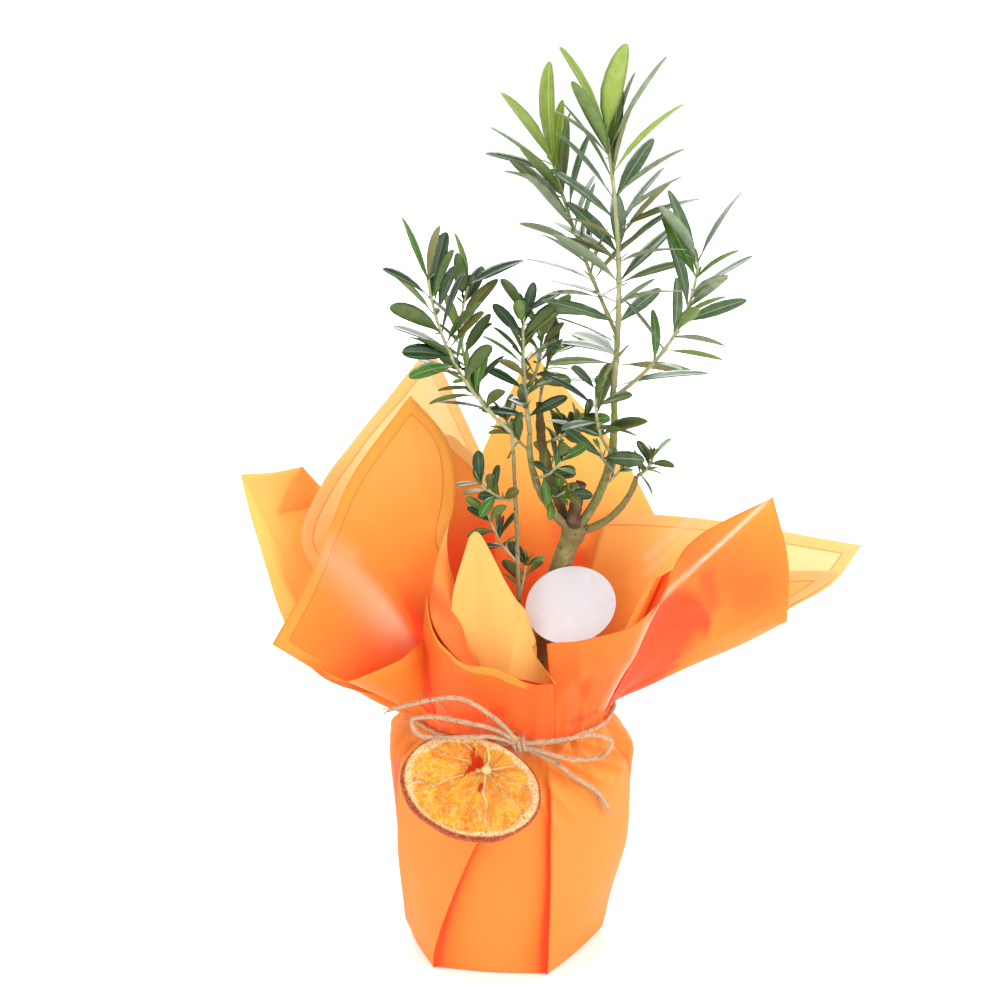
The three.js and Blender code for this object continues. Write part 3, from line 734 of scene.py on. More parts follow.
@dataclass
class FilmSkirt:
    """The film round the pot: panels that lap at folds, gathered under the twine.

    fan holds the creases below the bow, as azimuths at the neck and at the lower end, the height of that
    end, depth and width. lapped is the turned edge of a panel at a fold, as shifts in degrees and lifts.
    """

    foot_radius: float = 53
    shoulder_radius: float = 61
    shoulder: float = 106
    neck_radius: float = 51.4
    neck: float = 127
    top: float = 130.6
    round_height: float = 62
    bulge: float = 2
    side_swell: float = 2
    left_rise: float = 9
    decay: float = 18
    foot_round: float = 2.4
    underside: float = 0.25
    thickness: float = 0.16
    panel_columns: int = 40
    rows: int = 132
    base_rows: int = 6
    wrinkle_depth: float = 0.35
    wrinkle_size: float = 46
    creases: int = 84
    crease_lean: float = 12
    crease_low: Pair = (97, 116)
    crease_depth: Pair = (0.9, 2.4)
    crease_width: Pair = (1.4, 3.4)
    crease_fade: Pair = (88, 102)
    crowd: Pair = (-78, -12)
    crowd_low: Pair = (82, 106)
    slack: float = 1e-6
    # The level of painted shade over the whole film.
    shade_level: float = 0.27
    lapped: tuple[Pair, ...] = ((-0.03, 0.92), (-0.05, 0.7), (-0.05, 0.45), (-0.04, 0.2), (-0.01, 0.05))
    # Painted shade on the turned edges at the folds.
    lapped_shade: float = 0.6
    # Painted shade round the place that shows through the slice's hole.
    behind_hole: Pair = (-109, 117)
    hole_shade: float = 0.7
    hole_spread: float = 140
    gathers: tuple[Pair, ...] = ((19, 0.4), (31, 2), (43, 4))
    gather_from: float = 98
    gather_depth: float = 0.75
    gather_sink: float = 0.7
    # Painted shade on one side of each fan crease and a painted highlight on the other.
    fan_shade: float = 0.55
    fan_light: float = 0.3
    fan_side: Pair = (-1.1, 1.5)
    # Painted shade in the gathers at the neck.
    neck_gather_shade: float = 0.2
    neck_range: Pair = (120, 131)
    fan: tuple[tuple[float, float, float, float, float], ...] = (
        (-88, -66, 80, 2.4, 3.2), (-84, -58, 88, -2.2, 3), (-80, -44, 94, 2.2, 3),
        (-72, -34, 100, -1.8, 2.6), (-64, -20, 104, 1.8, 2.8), (-50, -12, 108, -1.6, 2.4),
        (-36, -4, 112, 1.5, 2.4),
    )
    folds: tuple[Fold, ...] = (
        Fold(-135, -95, 56, Lap.BEFORE, 2.2, 0.8, 6, 1.2),
        Fold(-69.5, -73, 50, Lap.AFTER, 3.0, 1.0, 5),
        Fold(4, -19, 47.5, Lap.BEFORE, 1.4, 0.9, 7),
        Fold(60, 60, 48.5, Lap.AFTER),
        Fold(118, 112, 49.5, Lap.BEFORE),
        Fold(173, 209, 52, Lap.AFTER, 3.2, 1.4, 9, 0.52),
    )

    def fold_at(self, index: int, height: Array) -> Array:
        """Gives a fold's azimuth at heights, counting on past the last fold."""
        turn, place = divmod(index, len(self.folds))
        fold = self.folds[place]
        climb = np.clip(height / self.shoulder, 0, 1) ** fold.bend
        return 360 * turn + mix(fold.foot, fold.shoulder, climb)

    def base_radius(self, azimuth: Array, height: Array) -> Array:
        """Gives the film's radius before laps and creases.

        Args:
            azimuth: Azimuths in degrees.
            height: Heights.

        Returns:
            The radius at each: flat panels at the foot that round out towards the shoulder.
        """
        climb = np.minimum(1, height / self.shoulder)
        body = mix(self.foot_radius, self.shoulder_radius, climb)
        sideways = np.cos(np.radians(azimuth))
        body = body + self.side_swell * sideways**2 * smoothstep(height, 20, 72)
        raised = self.left_rise * np.maximum(0, -sideways) ** 3
        drawn_in = smoothstep(height, self.shoulder + raised, self.neck + raised / 3)
        body = mix(body, self.neck_radius, drawn_in)
        panelled = np.ones_like(azimuth)
        for index, fold in enumerate(self.folds):
            after = self.folds[(index + 1) % len(self.folds)]
            start = self.fold_at(index, height)
            width = self.fold_at(index + 1, height) - start
            turn = (azimuth - start + self.slack) % 360
            across = np.minimum(turn / width, 1)
            reach = fold.corner * np.sin(np.radians(turn))
            rest = after.corner * np.sin(np.radians(width - turn))
            chord = fold.corner * after.corner * np.sin(np.radians(width)) / (reach + rest)
            chord = chord + 4 * self.bulge * across * (1 - across)
            panelled = np.where(turn <= width + 2 * self.slack, chord / self.foot_radius, panelled)
        return body * mix(panelled, 1, smoothstep(height, 0, self.round_height))

    def columns(self) -> Array:
        """Lays out the columns of the sheet all round.

        Returns:
            Rows of panel, share across it, shift in degrees, and lift by the fold before and after it.
        """
        laid: list[tuple[float, ...]] = []
        shares = np.linspace(0, 1, self.panel_columns)
        width = math.radians(360 / len(self.folds)) * self.foot_radius
        for panel, fold in enumerate(self.folds):
            after = self.folds[(panel + 1) % len(self.folds)]
            for share in shares:
                from_start = math.exp(-share * width / self.decay) if fold.lap is Lap.AFTER else 0
                to_end = math.exp(-(1 - share) * width / self.decay) if after.lap is Lap.BEFORE else 0
                laid.append((panel, share, 0, from_start, to_end))
            path = self.lapped
            if after.lap is Lap.AFTER:
                path = [(-shift, lift) for shift, lift in reversed(self.lapped)]
            laid += [(panel, 1, shift, 0, lift) for shift, lift in path]
        return np.array(laid + [(len(self.folds), *laid[0][1:])])

    def column_at(self, u: Array) -> Array:
        """Gives the sheet's columns at shares all round it."""
        table = self.columns()
        return table[np.round(u * (len(table) - 1)).astype(int)]

    def lap_at(self, height: Array) -> Array:
        """Tells how far the panels stand off one another at heights."""
        return 1 - smoothstep(height, self.shoulder - 4, self.neck - 5)

    def crease_ends(self, start: float, end: float, low: float) -> list[Array]:
        """Gives the ends of a crease from the neck down, on the film laid out flat, as arc and height."""
        return [np.array([math.radians(azimuth + 180) * self.foot_radius, height])
                for azimuth, height in ((start, self.neck), (end, low))]

    def crumple(self, azimuth: Array, height: Array) -> Array:
        """Gives the creases that run down from the neck, and the gathers at the neck, as radial offsets.

        Args:
            azimuth: Azimuths in degrees.
            height: Heights.

        Returns:
            One offset a place, outwards.
        """
        dice = Dice(29)
        arc = np.radians((azimuth + 180) % 360) * self.foot_radius
        flat = np.stack([arc, height], -1)
        offset = np.zeros_like(azimuth)
        for index in range(self.creases):
            crowded = index % 3 == 0
            start = dice.between(*(self.crowd if crowded else (-180, 180)))
            lean = dice.between(-self.crease_lean, self.crease_lean)
            low = dice.between(*(self.crowd_low if crowded else self.crease_low))
            depth = dice.between(*self.crease_depth) * (1 if index % 2 else -1)
            gap, share = stroke_distance(flat, *self.crease_ends(start, start + lean, low))
            offset += depth * np.exp(-gap / dice.between(*self.crease_width)) * (1 - share)
        offset = offset * smoothstep(height, *self.crease_fade)
        for start, end, low, depth, width in self.fan:
            gap, share = stroke_distance(flat, *self.crease_ends(start, end, low))
            offset += depth * np.exp(-gap / width) * (1 - share * share)
        gather = smoothstep(height, self.gather_from, self.neck)
        waves = sum(np.cos(np.radians(azimuth) * count + phase) for count, phase in self.gathers)
        return offset + gather * (self.gather_depth * waves - self.gather_sink)

    def surface(self, u: Array, v: Array) -> Array:
        """Places the sheet: v climbs from the middle of the underside to the neck.

        Args:
            u: Shares all round.
            v: Shares up the sheet.

        Returns:
            The sheet's points.
        """
        panel, share, shift, before, after = self.column_at(u).T
        row = np.round(v * self.rows)
        climb = np.clip((row - self.base_rows) / (self.rows - self.base_rows), 0, 1)
        height = self.top * mix(climb, climb**1.6, 0.35)
        azimuth, raised = np.zeros_like(u), np.zeros_like(u)
        for index in range(len(self.folds) + 1):
            mine = panel == index
            start, end = self.fold_at(index, height), self.fold_at(index + 1, height)
            azimuth = np.where(mine, mix(start, end, share), azimuth)
            fold, following = (self.folds[(index + k) % len(self.folds)] for k in (0, 1))
            raised = np.where(mine, before * fold.raised + after * following.raised, raised)
        laps = self.lap_at(height)
        azimuth = azimuth + shift * laps
        foot = np.clip(1 - height / self.foot_round, 0, 1)
        rounding = self.foot_round * (1 - np.sqrt(1 - foot * foot))
        radius = self.base_radius(azimuth, height) + raised * laps * mix(0.55, 1, smoothstep(height, 0, 12))
        flat = polar(azimuth, radius, height)
        radius = radius + self.crumple(azimuth, height) - rounding
        radius = radius + self.wrinkle_depth * relief(flat, self.wrinkle_size, 2)
        inward = np.clip(row / self.base_rows, 0, 1)
        return polar(azimuth, radius * inward, np.maximum(height, self.underside))

    def values(self, u: Array, v: Array, points: Array) -> dict[str, Array]:
        """Gives the film's attributes: no border here, painted shade in the tucks, beside the folds, behind
        the slice's hole and at the neck, and painted shade and highlights beside the fan creases.

        Args:
            u: Shares all round.
            v: Shares up the sheet; not used.
            points: The sheet's points.

        Returns:
            The attributes that the film's finish reads.
        """
        column = self.column_at(u)
        height = points[:, 2]
        width = math.radians(360 / len(self.folds)) * self.foot_radius
        # Painted shade: darker red on the turned edges and beside each fold, under the raised panel.
        fold_shade = (column[:, 2] != 0) * self.lapped_shade
        for index, fold in enumerate(self.folds):
            panel, share = (index - 1) % len(self.folds), 1 - column[:, 1]
            if fold.lap is Lap.BEFORE:
                panel, share = index, column[:, 1]
            mine = column[:, 0] % len(self.folds) == panel
            shade_beside_fold = fold.fold_shade * np.exp(-share * width / fold.fold_shade_width) * mine
            fold_shade = np.maximum(fold_shade, shade_beside_fold * mix(1, 0.7, smoothstep(height, 10, 70)))
        # Painted shade behind the slice's hole, and painted shade and highlights beside the fan creases.
        azimuth = np.degrees(np.arctan2(points[:, 1], points[:, 0]))
        arc = np.radians((azimuth + 180) % 360) * self.foot_radius
        hole = math.radians(self.behind_hole[0] + 180) * self.foot_radius
        beside = (arc - hole) ** 2 + (height - self.behind_hole[1]) ** 2
        shaded = self.hole_shade * np.exp(-beside / self.hole_spread)
        lit = np.zeros_like(u)
        for start, end, low, _, width in self.fan:
            ends = self.crease_ends(start, end, low)
            gap, share = stroke_distance(np.stack([arc, height], -1), *ends)
            run = ends[1] - ends[0]
            cross = (run[0] * (height - ends[0][1]) - run[1] * (arc - ends[0][0])) / np.linalg.norm(run)
            near = np.exp(-gap / width) * (1 - share**3)
            shaded = np.maximum(shaded, self.fan_shade * near * smoothstep(-cross, *self.fan_side))
            lit = np.maximum(lit, self.fan_light * near * smoothstep(cross, *self.fan_side))
        # The depth attribute holds the painted shade less the painted highlights.
        depth = self.shade_level + np.maximum(fold_shade * self.lap_at(height), shaded) - lit
        depth = depth + self.neck_gather_shade * smoothstep(height, *self.neck_range)
        return plain_values(np.clip(depth, -1, 1))

    def build(self, outside: Material, inside: Material) -> None:
        """Builds the film round the pot."""
        count = len(self.columns()) - 1
        mesh = grid_mesh("film_round_pot", count, self.rows, self.surface, self.values)
        merge(mesh)
        piece = new_object("film_round_pot", mesh, (outside, inside))
        thicken(piece, self.thickness, -1, 1)
        register(piece, ("film_skirt",))


@dataclass(frozen=True)
class Petal:
    """A sheet of film above the neck.

    neck says which stretch of the gathered ring it grows from, as pairs of rim share and azimuth. rim is
    its free edge from left to right as seen from outside, as points of azimuth, radius and height; each
    stretch ends at a corner of the sheet. bow bends it up before it flares, and turned marks a corner that
    is folded over, with the film's inner face outwards. border_from and border_to are the rim shares
    between which the printed border shows. One scale sets the painted shade at the neck, one level shifts
    the whole sheet's painted shade, below zero into painted light where it is lit through, pleated scales
    the pleats at the neck, and lit_side is the face that its painted highlights show on.
    """

    name: str
    ring: int
    neck: tuple[Pair, ...]
    rim: tuple[tuple[Point, ...], ...]
    bow: float
    turned: bool = False
    border: bool = False
    border_from: float = 0.0
    border_to: float = 2.0
    # Scale of the painted shade at the neck.
    neck_shade: float = 1.0
    # Level of painted shade over the whole sheet; below zero, painted light.
    shade_level: float = 0.0
    pleated: float = 1.0
    lit_side: int = 1
    # Streaks of painted shade, then streaks of painted highlight.
    painted_shade: tuple[Streak, ...] = ()
    gleam: tuple[Streak, ...] = ()
    creases: tuple[Streak, ...] = ()

    RINGS = (46.9, 48.8, 50.7, 51.4)
    START = 133.6
    SOFTENING = 0.17

    def curves(self) -> list[Curve]:
        """Gives the rim as one curve for each edge of the sheet."""
        corner: tuple[Point, ...] = ()
        edges = []
        for edge in self.rim:
            edges.append(Curve([polar(*point) for point in corner + edge]))
            corner = edge[-1:]
        return edges

    def rim_points(self, u: Array) -> Array:
        """Gives points of the rim, with an equal share of u for each edge."""
        edges = self.curves()
        index = np.minimum((u * len(edges)).astype(int), len(edges) - 1)
        points = np.zeros((len(u), 3))
        for place, edge in enumerate(edges):
            mine = index == place
            points[mine] = edge.spaced(u[mine] * len(edges) - place)
        return points

    def soft_rim(self, u: Array) -> Array:
        """Gives the rim with its corners rounded off, as the inner part of the sheet follows it."""
        room = np.minimum(self.SOFTENING, np.minimum(u, 1 - u))
        steps = np.linspace(-1, 1, 9)
        return sum(self.rim_points(np.clip(u + step * room, 0, 1)) for step in steps) / len(steps)

    def surface(self, u: Array, v: Array) -> Array:
        """Places the sheet's middle surface: v climbs from the neck to the rim."""
        shares, azimuths = zip(*self.neck, strict=True)
        base = polar(np.interp(u, shares, azimuths), self.RINGS[self.ring], self.START)
        rim = mix(self.soft_rim(u), self.rim_points(u), (v**6)[:, None])
        upright = np.column_stack([base[:, :2], rim[:, 2]])
        knee = mix(mix(base, rim, 0.5), upright, self.bow)
        v = v[:, None]
        return (1 - v) ** 2 * base + 2 * v * (1 - v) * knee + v * v * rim


@dataclass(frozen=True)
class Layer:
    """A second sheet that lies inside a petal and ends short of its rim."""

    name: str
    petal: str
    reach: tuple[Pair, ...]
    # The layer's level of painted shade.
    shade_level: float
    lift: float = 0.9


@dataclass(frozen=True)
class Flap:
    """A corner of film that is turned back, between four points, with the middle pushed out.

    Its painted shade is given on its left and on its right.
    """

    name: str
    corners: tuple[Point, Point, Point, Point]
    push: Point
    # Painted shade on its left and on its right.
    shade_levels: Pair = (0.2, 0.2)

    def surface(self, u: Array, v: Array) -> Array:
        """Places the flap between its corners, which run round from the lower left."""
        u, v = u[:, None], v[:, None]
        low, far, top, near = (np.array(corner) for corner in self.corners)
        flat = mix(mix(low, far, u), mix(near, top, u), v)
        return flat + np.array(self.push) * 16 * u * (1 - u) * v * (1 - v)

    def values(self, u: Array, v: Array, points: Array) -> dict[str, Array]:
        """Gives the flap's attributes."""
        return plain_values(mix(*self.shade_levels, smoothstep(u, 0.5, 0.7)))


# In these tables the shade streaks are painted shade, the gleam streaks painted highlights, and each sheet's
# level of shade is painted shade, or painted light below zero.
PETALS: tuple[Petal, ...] = (
    Petal("film_front", 0, ((0, -121), (1, -63)), (
        ((-124, 54, 181), (-124.5, 51, 205), (-121, 41.5, 232)),
        ((-117, 38.5, 235), (-92, 41, 205), (-76.5, 46.5, 178), (-69.5, 60, 164.3)),
    ), 0.66, turned=True, neck_shade=0.15, shade_level=-0.12, pleated=0.2,
        painted_shade=(Streak((0.99, 0.05), (0.97, 0.4), 7, 1.0),),
        creases=(Streak((0.785, 0.98), (0.5, 0.2), 11, 4.4), Streak((0.2, 0.99), (0.36, 0.9), 5, -1.6),
                 Streak((0.5, 0.95), (0.3, 0.55), 7, -1.6))),
    Petal("film_front_left", 1, ((0, -148), (0.25, -136), (0.45, -129), (0.67, -127), (0.84, -122),
                                 (0.9, -114), (1, -71)), (
        ((-147, 58, 150), (-150, 102, 165), (-159, 126, 180)),
        ((-174, 93, 219), (-180, 81, 250), (-196, 53, 290)),
        ((-197, 34, 268), (-168, 29, 246), (-135, 53, 216), (-128, 63, 194), (-110, 62, 174),
         (-71, 61, 164)),
    ), 0.45, border=True, border_from=0.3, border_to=0.78, neck_shade=0.75, shade_level=0.18,
        painted_shade=(Streak((0.478, 0.8), (0.468, 0.36), 26, 1.0, 1, 0.3),
              Streak((0.52, 0.12), (0.5, 0.34), 14, 0.9), Streak((0.86, 1.0), (0.98, 1.0), 12, 0.7)),
        gleam=(Streak((0.472, 0.98), (0.47, 0.86), 4.5, 0.45),
               Streak((0.475, 0.92), (0.465, 0.5), 13, 0.4, -1)),
        creases=(Streak((0.475, 1.0), (0.45, 0.74), 15, 3.4),
                 Streak((0.45, 0.74), (0.54, 0.25), 15, 3.4),
                 Streak((0.39, 0.47), (0.488, 0.14), 8, -2.0))),
    Petal("film_front_right", 2, ((0, -66), (1, -25)), (
        ((-73, 57, 184), (-55, 68, 188.5), (-43, 79.5, 193.5), (-36.5, 89.5, 205)),
    ), 0.04, neck_shade=0.45, shade_level=0.3, pleated=0.6,
        painted_shade=(Streak((0.11, 0.38), (0.31, 0.6), 6, 0.5, -1),
              Streak((0.105, 0.11), (0.493, 0.207), 9, 0.45),
              Streak((0.292, 0.077), (0.712, 0.09), 5, 0.6),
              Streak((0.517, 0.763), (0.913, 0.527), 9, 0.28, 1)),
        gleam=(Streak((0.985, 1.0), (0.95, 0.1), 3.2, 0.3),),
        creases=(Streak((0.263, 0.903), (0.29, 0.673), 5, 3.0),
                 Streak((0.29, 0.673), (0.09, 0.39), 5, 3.2),
                 Streak((0.302, 0.457), (0.493, 0.207), 5, -2.6),
                 Streak((0.517, 0.763), (0.8, 0.6), 7, 2.0))),
    Petal("film_right_front", 2, ((0, -23), (1, -2)), (
        ((-23.2, 52.1, 136.6), (-28.9, 68.3, 169.4), (-33.1, 86, 202.7), (-33, 100, 234),
         (-20, 133, 256)),
        ((-17, 140, 223), (-11, 139, 186)),
        ((-1, 130, 171.5),),
    ), -0.1, neck_shade=0.12, shade_level=0.42, pleated=0.3,
        painted_shade=(Streak((0.16, 1.0), (0.277, 0.72), 14, 0.95, -1),
              Streak((0.277, 0.72), (0.392, 0.66), 20, 0.95, -1),
              Streak((0.23, 0.7), (0.4, 0.13), 18, 0.95), Streak((0.237, 0.95), (0.463, 0.787), 30, 0.3),
              Streak((0.288, 0.813), (0.392, 0.66), 8, 0.45)),
        gleam=(Streak((0.165, 1.0), (0.33, 1.0), 1.2, 0.6),),
        creases=(Streak((0.277, 0.72), (0.392, 0.66), 6, 3.0),
                 Streak((0.562, 0.59), (0.6, 0.95), 8, 2.2),
                 Streak((0.45, 0.1), (0.62, 0.5), 7, -1.6))),
    Petal("film_right_back", 1, ((0, -1), (1, 49)), (
        ((2, 139, 178), (7, 167, 189), (11, 185, 204)),
        ((25, 119, 213), (37, 91, 215), (47, 73, 216)),
    ), 0.25, border=True, neck_shade=1.4, shade_level=-0.72, lit_side=-1,
        gleam=(Streak((0.83, 0.98), (0.85, 0.7), 2.5, 0.5), Streak((0.8, 0.98), (0.82, 0.6), 1.6, 0.4))),
    Petal("film_back_right", 2, ((0, 37), (1, 106)), (
        ((38, 106, 196), (52, 94, 242), (82, 73, 299)),
        ((101, 72, 248), (107, 69, 230)),
    ), 0.2, neck_shade=1.05, shade_level=-0.08, lit_side=-1,
        painted_shade=(Streak((0.4, 0.15), (0.36, 0.5), 22, 0.8), Streak((0.3, 0.2), (0.285, 0.42), 13, 1.0)),
        gleam=(Streak((0.132, 0.82), (0.055, 0.69), 4, 0.3),)),
    Petal("film_back_left", 1, ((0, 98), (1, 171)), (
        ((100, 66, 232), (107, 65, 252), (125, 73, 305)),
        ((146, 97, 257), (161, 102, 240), (173, 108, 213), (173, 88, 182)),
    ), 0.4, border=True, shade_level=-0.52, lit_side=-1,
        gleam=(Streak((0.5, 0.93), (0.42, 0.7), 3.5, 0.95), Streak((0.47, 0.98), (0.4, 0.62), 9, 0.4)),
        creases=(Streak((0.585, 0.97), (0.56, 0.9), 3, 1.6),)),
    Petal("film_left", 2, ((0, 164), (1, 210)), (
        ((150, 118, 205), (154, 117, 226), (157, 117, 244)),
        ((167, 125, 246), (178, 136, 252)),
        ((178, 128, 219), (183, 115, 176), (202, 102, 160), (209, 57, 143)),
    ), -0.3, neck_shade=0.6),
)
FOLDED: tuple[Petal, ...] = (
    Petal("film_left_gusset", 2, ((0, 206), (1, 217)), (
        ((207.5, 108, 168.6), (217, 102, 166.5), (224, 90, 173), (227, 78, 177), (223, 65, 178),
         (217.3, 54.4, 178)),
    ), 0.1, neck_shade=0.5, shade_level=0.08),
    Petal("film_front_right_pocket", 1, ((0, -33), (1, -14)), (
        ((-38, 90, 205), (-28, 86, 209), (-17, 82, 211)),
    ), 0.04, neck_shade=0.5, shade_level=0.45, pleated=0.4),
    Petal("film_front_pleat", 3, ((0, -158), (0.5, -116), (1, -66)), (
        ((-134, 59.8, 204), (-129.2, 63.3, 195.3), (-124.1, 65.2, 187.3), (-116.3, 66.9, 181.4),
         (-109.6, 66.9, 177), (-97.8, 65.6, 176), (-91.6, 65.4, 171.8), (-84.4, 64.5, 167.3),
         (-78, 63.4, 165.5), (-71.5, 62.3, 164.6)),
    ), 0.4, border=True, border_to=0.81, neck_shade=0.75, shade_level=0.02, pleated=0.5,
        creases=(Streak((0.62, 0.98), (0.17, 0.4), 6, 1.4), Streak((0.33, 0.8), (0.37, 0.2), 5, -1.0)),
        painted_shade=(Streak((0.42, 0.12), (0.7, 0.3), 12, 0.85),)),
)
# Each layer's last number is its level of painted shade.
LAYERS: tuple[Layer, ...] = (
    Layer("film_right_back_layer", "film_right_back",
          ((0, 0.97), (0.343, 0.985), (0.43, 0.88), (0.512, 0.783), (0.56, 0.74)), -0.3),
    Layer("film_back_left_layer", "film_back_left",
          ((0, 0.9), (0.13, 0.9), (0.28, 0.8), (0.42, 0.75), (0.47, 0.77)), 0.25),
)
# Each flap's last pair is its painted shade on the left and on the right.
FLAPS: tuple[Flap, ...] = (
    Flap("film_left_flap",
         ((-118.1, 12.3, 229), (-97, 38, 225), (-94.5, 47, 226.8), (-108.2, 41.7, 245.2)),
         (0.6, -2.4, 0.8)),
    Flap("film_pocket_flap", ((53.9, -42, 184), (62.5, -42, 189), (73, -36, 212), (67.9, -36, 211.9)),
         (-0.6, -1.4, 0.2), (0.0, 0.5)),
    Flap("film_pocket_lining",
         ((60.5, -41, 187), (67, -40, 190), (78.3, -33, 214.4), (72.6, -35.5, 212)),
         (0, 1, 0), (1.0, 0.75)),
)


@dataclass
class FilmPetals:
    """The film above the neck."""

    thickness: float = 0.28
    edge_columns: int = 44
    rows: int = 58
    hem: float = 0.07
    hem_drop: float = 6.5
    pleat: float = 1.5
    pleat_fade: float = 24
    pleat_waves: tuple[Point, ...] = ((1, 37, 0), (0.8, 61, 1.3), (0.8, 23, 0.5))
    # How the painted shade at the neck fades away from it.
    neck_shade_fade: Pair = (12, 150)
    border_fade: Pair = (0.06, 0.05)
    sway: float = 1.3
    sway_size: float = 58
    sway_from: Pair = (8, 50)
    rim_samples: int = 60
    flap_cells: int = 36
    petals: tuple[Petal, ...] = PETALS
    folded: tuple[Petal, ...] = FOLDED
    layers: tuple[Layer, ...] = LAYERS
    flaps: tuple[Flap, ...] = FLAPS

    def placed(self, petal: Petal, lift: float = 0.0) -> Surface:
        """Gives a petal's surface with its hem under the twine, its pleats, sway and creases.

        Args:
            petal: The petal.
            lift: Offset towards the inside of the wrap.

        Returns:
            A function from u and v to points.
        """

        def normals(u: Array, v: Array) -> Array:
            """Gives the directions out of the petal's face."""
            probe = 2e-3
            course = petal.surface(np.minimum(u + probe, 1), v) - petal.surface(np.maximum(u - probe, 0), v)
            rise = petal.surface(u, np.minimum(v + probe, 1)) - petal.surface(u, np.maximum(v - probe, 0))
            return unit(np.cross(course, rise))

        def place(u: Array, v: Array) -> Array:
            """Places the sheet's points."""
            climb = np.maximum((v - self.hem) / (1 - self.hem), 0)
            points = petal.surface(u, climb)
            base = petal.surface(u, np.zeros_like(u))
            away = np.linalg.norm(points - base, axis=1)
            turn = np.arctan2(base[:, 1], base[:, 0])
            waves = sum(size * np.sin(turn * count + shift) for size, count, shift in self.pleat_waves)
            offset = petal.pleated * self.pleat * waves / 2 * np.exp(-away / self.pleat_fade)
            swayed = self.sway * relief(points, self.sway_size, 2, petal.ring + 1)
            offset = offset + swayed * smoothstep(away, *self.sway_from)
            for crease in petal.creases:
                offset = offset + self.stroke(petal, crease, points, 1)
            points = points + normals(u, climb) * (offset - lift * smoothstep(away, 0, 12))[:, None]
            drop = np.maximum(1 - v / self.hem, 0) * self.hem_drop
            return points - drop[:, None] * np.array([0, 0, 1])

        return place

    @staticmethod
    def stroke(petal: Petal, streak: Streak, points: Array, power: int = 2) -> Array:
        """Gives a streak's strength at points: soft beside its line, or a ridge at power 1."""
        u, v = (np.array(pair) for pair in zip(streak.start, streak.end, strict=True))
        start, end = petal.surface(u, v)
        gap, share = stroke_distance(points, start, end)
        return streak.strength * mix(streak.fade, 1, share) * np.exp(-((gap / streak.width) ** power))

    def values(self, petal: Petal, rim: Array, u: Array, v: Array, points: Array) -> dict[str, Array]:
        """Gives a sheet's attributes.

        Args:
            petal: The petal that the sheet follows.
            rim: Points of the sheet's free edge.
            u: Shares along the rim.
            v: Shares up the sheet.
            points: The sheet's points.

        Returns:
            The distance from the free edge, and how far the border, the painted shade and the painted
            highlights show.
        """
        edge = np.full(len(points), np.inf)
        for start, end in zip(rim[:-1], rim[1:], strict=True):
            edge = np.minimum(edge, stroke_distance(points, start, end)[0])
        base = petal.surface(u, np.zeros_like(u))
        away = np.linalg.norm(points - base, axis=1)
        # Painted shade near the neck and along the shade streaks, and painted highlights along the gleam
        # streaks.
        depth = petal.neck_shade * (1 - smoothstep(away, *self.neck_shade_fade))
        gleam = np.zeros(len(points))
        for streak in petal.painted_shade:
            depth = np.maximum(depth, self.stroke(petal, streak, points) * streak.kept(u, v))
        for streak in petal.gleam:
            gleam = np.maximum(gleam, self.stroke(petal, streak, points) * streak.kept(u, v))
        begun = smoothstep(u, petal.border_from - self.border_fade[0], petal.border_from)
        ended = smoothstep(u, petal.border_to, petal.border_to + self.border_fade[1])
        return {
            "edge": edge,
            "border": petal.border * begun * (1 - ended),
            "depth": np.clip(depth + petal.shade_level, -1, 1),
            "gleam": petal.lit_side * np.clip(gleam, 0, 1),
        }

    def add_sheet(
        self, name: str, mesh: Mesh, faces: Sequence[Material], nodes: Sequence[str] = ()
    ) -> None:
        """Gives a sheet its two faces and its thickness."""
        piece = new_object(name, mesh, faces)
        thicken(piece, self.thickness, 0, 1)
        register(piece, nodes)

    def petal_mesh(self, name: str, petal: Petal, surface: Surface) -> Mesh:
        """Makes a sheet over a surface, with the attributes that its petal says."""
        along = np.linspace(0, 1, self.rim_samples * len(petal.rim) + 1)
        rim = surface(along, np.ones_like(along))
        return grid_mesh(name, self.edge_columns * len(petal.rim), self.rows, surface,
                         lambda u, v, points: self.values(petal, rim, u, v, points))

    def layer_surface(self, petal: Petal, layer: Layer) -> Surface:
        """Gives the surface of a layer, which follows its petal up to its own reach."""
        inner = self.placed(petal, layer.lift)
        shares, tops = zip(*layer.reach, strict=True)

        def place(u: Array, v: Array) -> Array:
            """Places the sheet's points."""
            across = u * shares[-1]
            return inner(across, v * np.interp(across, shares, tops))

        return place

    def build(self, outside: Material, inside: Material) -> None:
        """Builds every petal, the second layers and the flaps.

        Args:
            outside: The finish of the film's outer face.
            inside: The finish of its inner face.
        """
        faces = (outside, inside)
        named = {petal.name: petal for petal in self.petals}
        for petal in (*self.petals, *self.folded):
            name = f"{petal.name}_sheet"
            nodes = [petal.name] if petal.name in named else []
            mesh = self.petal_mesh(name, petal, self.placed(petal))
            self.add_sheet(name, mesh, faces[::-1] if petal.turned else faces, nodes)
        for layer in self.layers:
            petal = replace(named[layer.petal], shade_level=layer.shade_level, gleam=())
            mesh = self.petal_mesh(layer.name, petal, self.layer_surface(petal, layer))
            self.add_sheet(layer.name, mesh, faces)
        for flap in self.flaps:
            mesh = grid_mesh(flap.name, self.flap_cells, self.flap_cells, flap.surface, flap.values)
            self.add_sheet(flap.name, mesh, faces)


